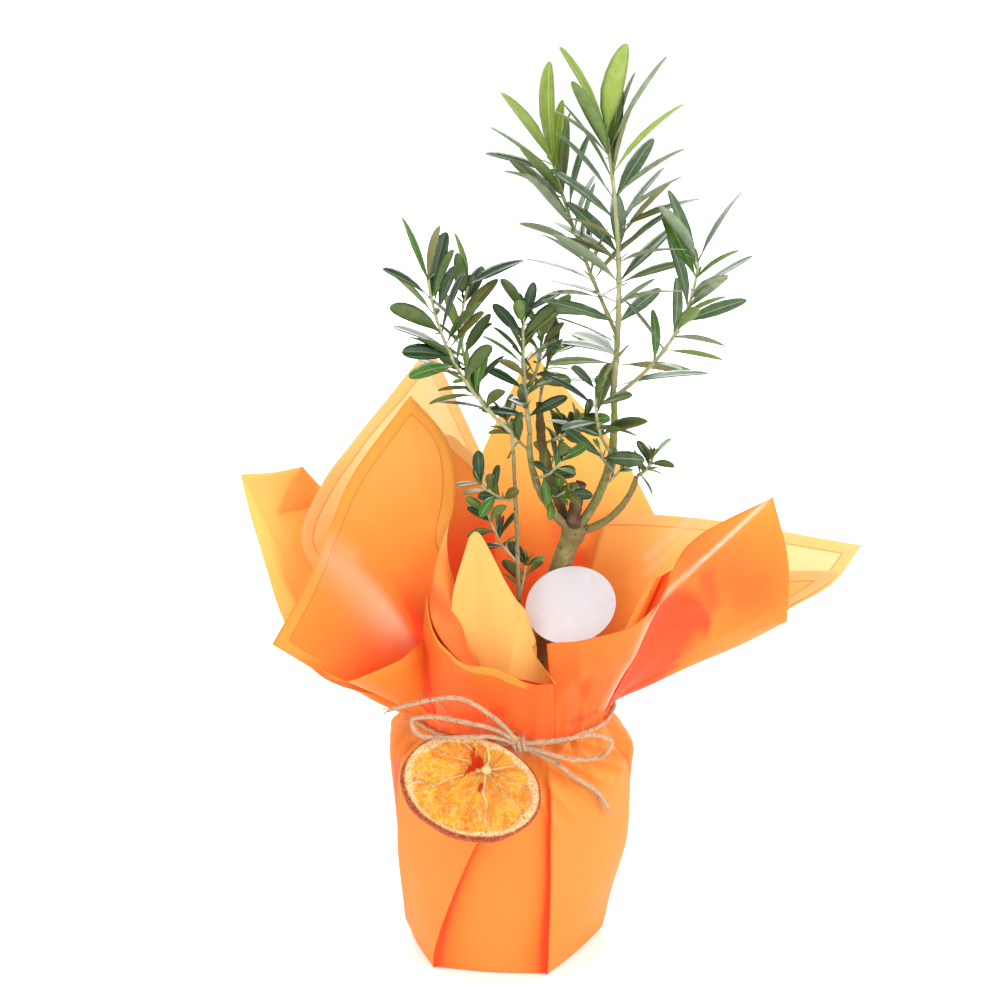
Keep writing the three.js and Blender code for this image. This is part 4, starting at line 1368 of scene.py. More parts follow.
TWINE_ROUTES: dict[str, tuple[Point, ...]] = {
    "twine_loop_left": (
        (1.5, -57.9, 134.4), (-8, -61.6, 141.8), (-21, -65, 146.8), (-38, -66, 150.4), (-48.5, -66, 149),
        (-46, -67, 142), (-34, -67, 140), (-20, -66, 140), (-9, -61, 137.7), (1, -58.2, 133.1)),
    "twine_loop_right": (
        (5.5, -57.9, 133), (24, -62, 137), (40, -59, 138), (49, -56, 133), (45, -58, 127),
        (33, -61.5, 126), (20, -62.5, 129), (6, -57.9, 131.6)),
    "twine_tail_left": (
        (3.4, -57.9, 133.5), (-9, -62.4, 148.6), (-25, -66, 160), (-40, -68, 160), (-60, -66, 154)),
    "twine_tail_right": (
        (4.7, -58.1, 131.6), (20, -60.6, 125), (31, -57.6, 115), (42, -50.4, 104), (48, -44.4, 92)),
}


@dataclass
class Twine:
    """The jute twine: a band round the neck, a knot, two loops and two tails, each of twisted plies."""

    plies: int = 3
    ply_radius: float = 0.6
    ply_offset: float = 0.58
    pitch: float = 5.2
    spacing: float = 0.65
    sides: int = 6
    hairs_per_mm: float = 3.4
    hair_radius: float = 0.07
    hair_sides: int = 3
    hair_length: Pair = (1.5, 8.5)
    hair_bend: Pair = (0.25, 1.1)
    hair_root: float = 0.7
    hair_sag: float = 0.12
    hair_taper: tuple[float, ...] = (1, 0.9, 0.8, 0.5)
    tail_tuft: int = 34
    tuft_length: float = 0.9
    tuft_bend: Pair = (0.05, 0.5)
    band_radius: float = 52.6
    band_height: float = 130
    band_waves: tuple[Point, ...] = ((0.5, 3, 0), (0.3, 7, 40))
    band_sunk: float = 0.7
    sunk_from: Pair = (300, 315)
    sunk_to: Pair = (345, 358)
    knot_place: Point = (3.4, -57, 132.2)
    knot_size: Point = (4.6, 2.5, 3.0)
    knot_turns: int = 3
    knot_points: int = 90
    knot_reach: float = 0.75
    routes: dict[str, tuple[Point, ...]] = field(default_factory=lambda: TWINE_ROUTES)

    def lines(self) -> dict[str, Array]:
        """Gives the middle line of every length of twine, by node, at an even spacing.

        Returns:
            The lines by the node that each stands for.
        """
        found = {}
        for name, route in self.routes.items():
            curve = Curve(route)
            count = int(curve.lengths[-1] / self.spacing)
            found[name] = curve.spaced(np.linspace(0, 1, count))
        turn = np.arange(0, 361, math.degrees(self.spacing / self.band_radius))
        rise = sum(size * np.sin(np.radians(turn * count + shift)) for size, count, shift in self.band_waves)
        sunk = self.band_sunk * smoothstep(turn, *self.sunk_from) * (1 - smoothstep(turn, *self.sunk_to))
        found["twine_band"] = polar(turn, self.band_radius - sunk, self.band_height + rise)
        angle = np.linspace(0, 2 * math.pi * self.knot_turns, self.knot_points)
        wrap = np.linspace(-self.knot_reach, self.knot_reach, self.knot_points)
        width, depth, height = self.knot_size
        round_x = np.sqrt(1 - (0.8 * wrap) ** 2)
        found["twine_knot"] = np.array(self.knot_place) + np.stack(
            [width * wrap, depth * round_x * np.cos(angle), height * round_x * np.sin(angle)], -1)
        return found

    def twist(self, batch: Batch, line: Array) -> None:
        """Adds the plies of one length of twine."""
        right, away = frames(line)
        run = np.concatenate([[0], np.cumsum(np.linalg.norm(np.diff(line, axis=0), axis=1))])
        for ply in range(self.plies):
            angle = 2 * math.pi * (run / self.pitch + ply / self.plies)
            ring = right * np.cos(angle)[:, None] + away * np.sin(angle)[:, None]
            lumps = 1 + 0.16 * np.sin(run * 1.9 + 2 * ply) + 0.1 * np.sin(run * 4.3 + ply)
            batch.tube(line + ring * self.ply_offset, self.ply_radius * lumps, self.sides)

    def fuzz(self, batch: Batch, line: Array, dice: Dice, tuft: bool) -> None:
        """Adds loose fibres along a length of twine, and a frayed tuft at its end.

        Args:
            batch: Takes up the fibres.
            line: The length's middle line.
            dice: A source of numbers.
            tuft: Whether its end is frayed.
        """
        right, away = frames(line)
        count = int(len(line) * self.spacing * self.hairs_per_mm)
        ends = [dice.roll() for _ in range(count)] + [1.0] * (self.tail_tuft if tuft else 0)
        for index, share in enumerate(ends):
            place = min(int(share * (len(line) - 1)), len(line) - 2)
            along = unit(line[place + 1] - line[place]) * (1 if dice.roll() < 0.5 or index >= count else -1)
            angle = dice.between(0, 2 * math.pi)
            out = right[place] * math.cos(angle) + away[place] * math.sin(angle)
            length = dice.between(*self.hair_length) * (dice.roll() if index < count else self.tuft_length)
            bend = dice.between(*(self.hair_bend if index < count else self.tuft_bend))
            t = np.linspace(0, 1, len(self.hair_taper))[:, None]
            path = line[place] + out * self.hair_root + length * (along * t + out * bend * t * t)
            path = path + np.array([0, 0, -1]) * self.hair_sag * length * t * t
            batch.tube(path, self.hair_radius * np.array(self.hair_taper), self.hair_sides)

    def build(self) -> None:
        """Builds the twine and its loose fibres."""
        finish = TwineFinish().material()
        cord, loose, dice = Batch(), Batch(), Dice(11)
        lines = self.lines()
        for name, line in lines.items():
            self.twist(cord, line)
            self.fuzz(loose, line, dice, "tail" in name)
        register(cord.build("twine_plies", [finish]), sorted(lines))
        register(loose.build("twine_fibres", [finish]))


@dataclass(frozen=True)
class Plate:
    """A flat thing that stands facing the front, rolled in its plane, leant back and turned at its place."""

    place: Point
    lean: float
    roll: float
    turn: float = 0.0

    def world(self, flat: Array) -> Array:
        """Turns points of the plate, as across, up and out, into the frame's."""
        roll, tilt = math.radians(self.roll), math.radians(90 - self.lean)
        x, y, z = flat.T
        x, y = x * math.cos(roll) - y * math.sin(roll), x * math.sin(roll) + y * math.cos(roll)
        y, z = y * math.cos(tilt) - z * math.sin(tilt), y * math.sin(tilt) + z * math.cos(tilt)
        turn = math.radians(self.turn)
        x, y = x * math.cos(turn) - y * math.sin(turn), x * math.sin(turn) + y * math.cos(turn)
        return np.stack([x, y, z], -1) + np.array(self.place)


@dataclass
class OrangeSlice:
    """The dried orange slice: rind, pith, segments with membranes, and a torn hole beside the core."""

    plate: Plate = Plate((-20.2, -74.8, 116.8), 42, -18)
    width: float = 70
    height: float = 52
    thickness: float = 5
    hole: Pair = (-2.6, 12.4)
    hole_size: Pair = (3.3, 6.6)
    core: Pair = (4.6, 10.5)
    # A small pit, sunk and painted dark red as the shade seen into a hole.
    pit: Pair = (4.4, 1.6)
    pit_size: Pair = (1.3, 2.8)
    segments: int = 8
    columns: int = 320
    rows: int = 72
    front_share: float = 0.6
    rim_share: float = 0.8
    back_share: float = 0.94
    rim_round: float = 0.9
    flesh_sink: float = 0.75
    membrane_rise: float = 0.45
    grain_depth: float = 0.4
    pit_depth: float = 1.2
    rind_lumps: float = 0.55
    lump_size: float = 1.5
    warp: float = 1.1

    def outline(self, direction: Array) -> Array:
        """Gives the distance from the hole to the rim along directions in the plate."""
        centre = np.array(self.hole)
        half = np.array([self.width, self.height]) / 2
        a = ((direction / half) ** 2).sum(-1)
        b = (direction * centre / half**2).sum(-1)
        c = ((centre / half) ** 2).sum() - 1
        return (-b + np.sqrt(b * b - a * c)) / a

    def flat(self, u: Array, v: Array) -> Array:
        """Places the slice in its plate: v runs over the front, the rim, the back and the hole's wall.

        Args:
            u: Shares round the hole.
            v: Shares of the way over the slice.

        Returns:
            Points as across, up and out.
        """
        angle = 2 * math.pi * u
        direction = np.stack([np.cos(angle), np.sin(angle)], -1)
        ragged = 1 + 0.22 * np.sin(3 * angle + 1) + 0.12 * np.sin(7 * angle + 2) + 0.07 * np.sin(13 * angle)
        bent = np.stack([1.2 * np.cos(2 * angle), np.zeros_like(angle)], -1)
        hole = np.array(self.hole) + bent + direction * np.array(self.hole_size) * ragged[:, None]
        wavy = 1 + 0.008 * np.sin(5 * angle + 1) + 0.006 * np.sin(11 * angle)
        rim = np.array(self.hole) + direction * (self.outline(direction) * wavy)[:, None]
        front = np.clip(v / self.front_share, 0, 1)
        turn = np.clip((v - self.front_share) / (self.rim_share - self.front_share), 0, 1) * math.pi
        back = np.clip((v - self.rim_share) / (self.back_share - self.rim_share), 0, 1)
        wall = np.clip((v - self.back_share) / (1 - self.back_share), 0, 1)
        share = np.where(v <= self.front_share, front, 1 - back)[:, None]
        plan = mix(hole, rim, share) + direction * (self.rim_round * (np.sin(turn) - 1))[:, None] * share
        out = np.where(v <= self.rim_share, np.cos(turn), mix(-1, 1, wall))
        out = np.where(v <= self.front_share, 1, out)
        return np.column_stack([plan, out * self.thickness / 2])

    def marks(self, plan: Array) -> dict[str, Array]:
        """Gives the rind, pith and membranes at points of the plate.

        Args:
            plan: Points as across and up.

        Returns:
            How far each shows, and the way and distance from the core.
        """
        ring = np.hypot(plan[:, 0] / (self.width / 2), plan[:, 1] / (self.height / 2))
        away = plan - np.array(self.core)
        angle = np.arctan2(away[:, 1], away[:, 0])
        far = np.linalg.norm(away, axis=1)
        ripple = 0.03 * np.sin(far * 0.5 + 3 * angle) + 0.06 * np.sin(far * 0.16 + 1)
        turn = (angle + ripple) / (2 * math.pi) * self.segments + 0.35 * np.sin(angle * 2 + 0.6)
        gap = np.abs(turn - np.round(turn)) * 2 * math.pi / self.segments * np.maximum(far, 1)
        scallop = 0.025 * np.cos(2 * math.pi * turn)
        from_pit = np.hypot(*((plan - np.array(self.pit)) / np.array(self.pit_size)).T)
        thick = 0.055 * np.maximum(0, np.cos(np.arctan2(plan[:, 1], plan[:, 0]) + 2.0))
        return {
            "ring": ring,
            "far": far,
            "rind": smoothstep(ring + thick, 0.95, 0.98),
            "pith": smoothstep(ring + scallop, 0.835, 0.875),
            "pit": 1 - smoothstep(from_pit, 0.7, 1.1),
            "membrane": np.maximum(0.9 - smoothstep(gap, 0.15, 0.55), 1 - smoothstep(far, 1.4, 3.2)),
            "fibre": np.column_stack([6 * away / np.maximum(far, 0.5)[:, None], far * 0.16]),
        }

    def surface(self, u: Array, v: Array) -> Array:
        """Places the slice, with sunken flesh, raised membranes and a dried warp.

        Args:
            u: Shares round the hole.
            v: Shares of the way over the slice.

        Returns:
            The slice's points.
        """
        flat = self.flat(u, v)
        marks = self.marks(flat[:, :2])
        front = v <= self.front_share
        flesh = (1 - marks["pith"]) * smoothstep(v, 0.0, 0.03)
        grain = relief(marks["fibre"] * 3, 1.0, 3)
        raised = self.membrane_rise * marks["membrane"] + self.grain_depth * grain
        sunk = flesh * (raised - self.flesh_sink - self.pit_depth * marks["pit"])
        lumpy = self.rind_lumps * relief(flat, self.lump_size, 3) * smoothstep(marks["ring"], 0.86, 0.98)
        warp = self.warp * marks["ring"] ** 2 * np.cos(2 * np.arctan2(flat[:, 1], flat[:, 0]) + 1.0)
        flat[:, 2] += np.where(front, sunk, 0) + lumpy + warp
        return self.plate.world(flat)

    def values(self, u: Array, v: Array, points: Array) -> dict[str, Array]:
        """Gives the slice's attributes."""
        marks = self.marks(self.flat(u, v)[:, :2])
        side = smoothstep(v, self.front_share - 0.004, self.front_share + 0.01)
        side = side * (1 - smoothstep(v, self.rim_share - 0.01, self.rim_share + 0.004))
        marks["rind"] = np.maximum(marks["rind"], side)
        return {name: marks[name] for name in ("rind", "pith", "membrane", "fibre", "pit")}

    def build(self) -> None:
        """Builds the slice."""
        mesh = grid_mesh("dried_slice", self.columns, self.rows, self.surface, self.values)
        merge(mesh)
        register(new_object("dried_slice", mesh, [SliceFinish().material()]), ("orange_slice",))


@dataclass
class CardTag:
    """The round card tag, bare, with a pressed ring round its hole.

    ring is the section from the hole's edge outwards, as distances and heights.
    """

    plate: Plate = Plate((29, -26, 193.7), 51, -23, -13)
    radius: float = 22.5
    thickness: float = 0.6
    hole_radius: float = 2.0
    hole_up: float = 17.5
    ring: tuple[Pair, ...] = ((0, 0), (0.35, 0.16), (1, 0.14), (1.25, 0), (1.7, 0))
    sides: int = 96
    edge_round: float = 0.12

    def build(self) -> None:
        """Builds the tag from its hole outwards."""
        shape = bmesh.new()
        rings = []
        section = [(self.hole_radius + away, self.hole_up, out) for away, out in self.ring]
        for radius, up, out in (*section, (self.radius, 0, 0)):
            made = bmesh.ops.create_circle(shape, segments=self.sides, radius=radius)["verts"]
            bmesh.ops.translate(shape, verts=made, vec=(0, up, out))
            rings.append(list({edge for vert in made for edge in vert.link_edges}))
        for inner, outer in zip(rings[:-1], rings[1:], strict=True):
            bmesh.ops.bridge_loops(shape, edges=inner + outer)
        bmesh.ops.recalc_face_normals(shape, faces=shape.faces)
        if sum(face.normal.z for face in shape.faces) < 0:
            bmesh.ops.reverse_faces(shape, faces=shape.faces)
        flat = np.array([vert.co for vert in shape.verts])
        for vert, point in zip(shape.verts, self.plate.world(flat) * MM, strict=True):
            vert.co = point
        piece = new_object("card_tag", mesh_of("card_tag", shape), [CardFinish().material()])
        thicken(piece, self.thickness)
        soft = piece.modifiers.new("edge", "BEVEL")
        soft.width, soft.segments, soft.limit_method = self.edge_round * MM, 2, "ANGLE"
        register(piece, ("tag",))


@dataclass(frozen=True)
class Limb:
    """A tapering limb from its start to its tip, bowed at mid length, with a radius at each end."""

    start: Point
    tip: Point
    bow: Point
    radius: Pair
    flare: float = 0.0
    FLARE_HEIGHT = 14

    def control(self) -> Array:
        """Gives the point that bends the limb."""
        return mix(np.array(self.start), np.array(self.tip), 0.5) + 2 * np.array(self.bow)

    def point(self, t: Array | float) -> Array:
        """Gives points of the middle line at shares along it."""
        t = np.asarray(t, float)[..., None]
        start, tip = np.array(self.start), np.array(self.tip)
        return (1 - t) ** 2 * start + 2 * t * (1 - t) * self.control() + t * t * tip

    def tangent(self, t: Array | float) -> Array:
        """Gives the directions of the middle line at shares along it."""
        t = np.asarray(t, float)[..., None]
        start, tip, bend = np.array(self.start), np.array(self.tip), self.control()
        return unit((1 - t) * (bend - start) + t * (tip - bend))

    def width(self, t: Array) -> Array:
        """Gives the radius at shares along the limb, flared at the foot."""
        rise = self.point(t)[..., 2] - self.start[2]
        foot = self.flare * np.maximum(0, 1 - rise / self.FLARE_HEIGHT) ** 2
        return mix(self.radius[0], self.radius[1], np.asarray(t)) + foot

    def skin(self, u: Array, v: Array, rows: int) -> Array:
        """Places a tube round the limb, closed at both ends.

        Args:
            u: Shares round the limb.
            v: Shares along the limb.
            rows: Rows of faces along it.

        Returns:
            The tube's points.
        """
        row = np.round(v * rows)
        t = np.clip((row - 1) / (rows - 2), 0, 1)
        forward = self.tangent(t)
        right = square_to(forward)
        away = np.cross(forward, right)
        closed = (row > 0) & (row < rows)
        angle = 2 * math.pi * u
        spoke = right * np.cos(angle)[:, None] + away * np.sin(angle)[:, None]
        return self.point(t) + spoke * (self.width(t) * closed)[:, None]


GROUND = 104.3
FORK: Point = (30.6, -2.3, 223.3)
LIMBS: dict[str, Limb] = {
    "trunk": Limb((9.5, 1, GROUND), FORK, (-6, 1, 0), (6.2, 5.2), 3),
    "cut_stub": Limb(FORK, (34.4, -8.6, 252), (-1, -1.4, 0), (3.6, 3.1)),
    "bough_right": Limb(FORK, (49.6, -3, 296.6), (7.5, 1.2, -4), (2.7, 1.8)),
    "bough_right_low": Limb(FORK, (61.4, -14, 256.8), (4.6, -1.5, -4.5), (2.3, 1.5)),
    "bough_left": Limb(FORK, (8.7, -10, 278.2), (-6.8, -5.2, -0.6), (2.2, 1.5)),
    "bough_old": Limb(FORK, (13.9, 10, 288), (-5, 6, 0), (2.9, 2.1)),
    "basal_shoot": Limb((2.6, -9, GROUND), (-0.1, -14, 278.8), (2, -3.4, 0), (1.6, 1), 0.8),
}


@dataclass(frozen=True)
class Wood:
    """Limbs that are grown together into one piece of bark."""

    name: str
    slot: str
    limbs: tuple[str, ...]
    finish: BarkFinish
    green: dict[str, float]
    knuckle: float = 0.0
    lumps: float = 0.35
    fissures: float = 0.25


WOODS: tuple[Wood, ...] = (
    Wood("living_bark", "bark", ("trunk", "bough_right", "bough_right_low", "bough_left"),
         BarkFinish("olive_bark", (0.2, 0.14, 0.065), (0.24, 0.25, 0.075), (0.42, 0.38, 0.2),
                    (0.06, 0.042, 0.022)),
         {"trunk": 0.6, "bough_right": 1.0, "bough_right_low": 0.55, "bough_left": 0.7}, 6.3),
    Wood("dead_wood", "dead_bark", ("cut_stub", "bough_old"),
         BarkFinish("dead_bark", (0.1, 0.056, 0.03), (0.16, 0.13, 0.05), (0.24, 0.16, 0.09),
                    (0.03, 0.018, 0.012), 1.2, 0.85),
         {"cut_stub": 0.0, "bough_old": 0.45}, 0, 0.75, 0.8),
    Wood("basal_stem", "shoot_bark", ("basal_shoot",),
         BarkFinish("shoot_bark", (0.24, 0.17, 0.09), (0.27, 0.28, 0.1), (0.46, 0.42, 0.27),
                    (0.09, 0.06, 0.035), 1.2),
         {"basal_shoot": 0.5}, 0, 0.2, 0.12),
)


@dataclass
class Limbs:
    """The trunk, the boughs and the basal shoot, with the bark's relief."""

    voxel: float = 0.5
    around: int = 20
    rows: int = 48
    smoothing: int = 4
    line_points: int = 60
    lump_size: float = 7
    fissure_size: float = 1.5
    fissure_stretch: float = 0.34
    fine_size: float = 0.9
    fine_depth: float = 0.1
    patch_size: float = 16
    patch_strength: float = 0.5
    sawn: tuple[str, ...] = ("cut_stub", "bough_old", "bough_right_low")
    sawn_dark: float = 0.8
    woods: tuple[Wood, ...] = WOODS

    def rough(self, wood: Wood) -> Mesh:
        """Joins a wood's limbs and its knuckle into one closed skin.

        Args:
            wood: The wood.

        Returns:
            The skin before its relief.
        """
        shape = bmesh.new()
        for name in wood.limbs:
            limb = LIMBS[name]
            tube = grid_mesh(name, self.around, self.rows, lambda u, v: limb.skin(u, v, self.rows))
            merge(tube)
            shape.from_mesh(tube)
        if wood.knuckle:
            ball = bmesh.ops.create_icosphere(shape, subdivisions=3, radius=wood.knuckle * MM)["verts"]
            bmesh.ops.translate(shape, verts=ball, vec=np.array(FORK) * MM)
        blank = new_object(f"{wood.name}_blank", mesh_of(wood.name, shape), ())
        grown = blank.modifiers.new("grown", "REMESH")
        grown.mode, grown.voxel_size, grown.use_smooth_shade = "VOXEL", self.voxel * MM, True
        soft = blank.modifiers.new("soft", "SMOOTH")
        soft.factor, soft.iterations = 0.5, self.smoothing
        whole = bpy.data.meshes.new_from_object(blank.evaluated_get(bpy.context.evaluated_depsgraph_get()))
        bpy.data.objects.remove(blank)
        return whole

    def carve(self, wood: Wood, mesh: Mesh) -> None:
        """Raises the bark's lumps and cuts its fissures, and notes where it is green or worn.

        Args:
            wood: The wood.
            mesh: Its skin, which is changed.
        """
        points, outward = read_vectors(mesh, "co") / MM, read_vectors(mesh, "normal")
        green, gap, worn = np.zeros(len(points)), np.full(len(points), np.inf), np.zeros(len(points))
        for name in wood.limbs:
            limb = LIMBS[name]
            t = np.linspace(0, 1, self.line_points)
            line, width = limb.point(t), limb.width(t)
            reach = np.linalg.norm(points[:, None] - line[None], axis=2) - width
            nearest = reach.argmin(1)
            mine = reach.min(1) < gap
            gap = np.where(mine, reach.min(1), gap)
            shade = wood.green[name] * mix(0.75, 1.15, t[nearest])
            green = np.where(mine, shade, green)
            cut = smoothstep((points - limb.point(1.0)) @ limb.tangent(1.0), -0.7, 0.1)
            worn = np.where(mine, cut if name in self.sawn else 0, worn)
        stretched = points * np.array([1, 1, self.fissure_stretch])
        lumps = relief(points, self.lump_size, 3) * wood.lumps
        fissures = -np.abs(relief(stretched, self.fissure_size, 3, 2)) * wood.fissures
        fine = relief(points, self.fine_size, 2, 3) * self.fine_depth
        place_vertices(mesh, points + outward * (lumps + fissures + fine)[:, None])
        green = np.clip(green + self.patch_strength * relief(points, self.patch_size, 2, 5), 0, 1)
        set_values(mesh, {"green": green, "worn": np.clip(worn * self.sawn_dark, 0, 1)})

    def build(self) -> None:
        """Builds each wood."""
        for wood in self.woods:
            mesh = self.rough(wood)
            self.carve(wood, mesh)
            register(new_object(wood.name, mesh, [wood.finish.material()]), wood.limbs)


class Tone(Enum):
    """The tones that leaves come in."""

    YOUNG = "young"
    SILVER = "silver"
    OLIVE = "olive"
    DARK = "dark"
    FRESH = "fresh"
    BRONZE = "bronze"


LEAF_FACES = ("leaf", "leaf_under", "rib")
# Colour, cloud, roughness and coat of each tone's faces
LEAF_LOOKS: dict[Tone, tuple[tuple, ...]] = {
    Tone.YOUNG: (
        ((0.225, 0.33, 0.04), (0.28, 0.39, 0.06), 0.42, 0.08),
        ((0.26, 0.37, 0.06), (0.32, 0.42, 0.1), 0.6),
        ((0.48, 0.55, 0.16), (0.5, 0.58, 0.2), 0.5)),
    Tone.SILVER: (
        ((0.06, 0.115, 0.045), (0.1, 0.16, 0.08), 0.36, 0.12),
        ((0.2, 0.26, 0.15), (0.27, 0.33, 0.21), 0.65),
        ((0.26, 0.33, 0.17), (0.3, 0.36, 0.2), 0.5)),
    Tone.OLIVE: (
        ((0.09, 0.135, 0.03), (0.12, 0.16, 0.045), 0.4, 0.1),
        ((0.17, 0.18, 0.06), (0.22, 0.22, 0.09), 0.6),
        ((0.28, 0.3, 0.1), (0.3, 0.33, 0.12), 0.5)),
    Tone.DARK: (
        ((0.011, 0.042, 0.01), (0.022, 0.062, 0.018), 0.3, 0.2),
        ((0.07, 0.12, 0.03), (0.1, 0.15, 0.045), 0.55),
        ((0.1, 0.16, 0.05), (0.12, 0.18, 0.06), 0.45)),
    Tone.FRESH: (
        ((0.055, 0.15, 0.014), (0.085, 0.19, 0.026), 0.34, 0.12),
        ((0.14, 0.22, 0.05), (0.18, 0.26, 0.08), 0.6),
        ((0.2, 0.32, 0.07), (0.24, 0.35, 0.09), 0.45)),
    Tone.BRONZE: (
        ((0.1, 0.11, 0.016), (0.14, 0.12, 0.022), 0.4, 0.1),
        ((0.12, 0.135, 0.03), (0.17, 0.155, 0.045), 0.55),
        ((0.26, 0.2, 0.07), (0.28, 0.22, 0.08), 0.5)),
}


@dataclass(frozen=True)
class Shoot:
    """A stem with pairs of leaves.

    on is the mass's shoot and the place along it that a side shoot grows from. pairs counts the nodes,
    first is the place of the lowest one, leaf the length at foot and tip, slim width over length, spread
    the angle off the shoot at foot and tip, and face turns the leaves round the shoot.
    """

    tip: Point
    bow: Point
    radius: Pair
    pairs: int
    first: float
    leaf: Pair
    slim: float
    spread: Pair
    face: float = 0.0
    on: tuple[int, float] | None = None

    def nodes(self) -> list[float]:
        """Gives the places of its nodes along it."""
        return [mix(self.first, 1, node / max(1, self.pairs - 1)) for node in range(self.pairs)]


@dataclass(frozen=True)
class Accent:
    """A leaf at a chosen place along a shoot, with how far its tip reaches, its width and its tone."""

    shoot: int
    at: float
    reach: Point
    width: float
    tone: Tone


@dataclass(frozen=True)
class Mass:
    """One mass of foliage, with the limb and the place along it that it grows from, and its tones.

    fill is how many of the places between nodes bear leaves. broader, longer and blade_roll widen,
    lengthen and turn the blades. top is the tone of the leaves from the place top_from up.
    """

    name: str
    limb: str
    at: float
    seed: int
    shoots: tuple[Shoot, ...]
    tones: tuple[Tone, ...]
    fill: float = 0.6
    broader: float = 1.0
    longer: float = 1.0
    blade_roll: float = 60
    top: Tone | None = None
    top_from: float = 0.93
    accents: tuple[Accent, ...] = ()


@dataclass(frozen=True)
class Leaf:
    """Where one leaf grows: its root and axis, the way its upper face looks, its size and its most turn."""

    root: Array
    axis: Array
    upper: Array
    length: float
    width: float
    tone: Tone
    turn: float = 0.0


LEADER_TONES = (Tone.SILVER, Tone.SILVER, Tone.OLIVE, Tone.SILVER)
LEFT_TONES = (Tone.DARK, Tone.FRESH, Tone.DARK, Tone.DARK, Tone.BRONZE, Tone.OLIVE, Tone.FRESH)
SPRIG_TONES = (Tone.DARK, Tone.FRESH, Tone.DARK, Tone.FRESH, Tone.BRONZE)


def sprig(
    place: str, limb: str, at: float, seed: int, shoot: Shoot, tones: tuple[Tone, ...] = SPRIG_TONES,
    **form: float,
) -> Mass:
    """Gives a small mass with one shoot, named for its place."""
    return Mass(f"sprig_{place}", limb, at, seed, (shoot,), tones, **form)


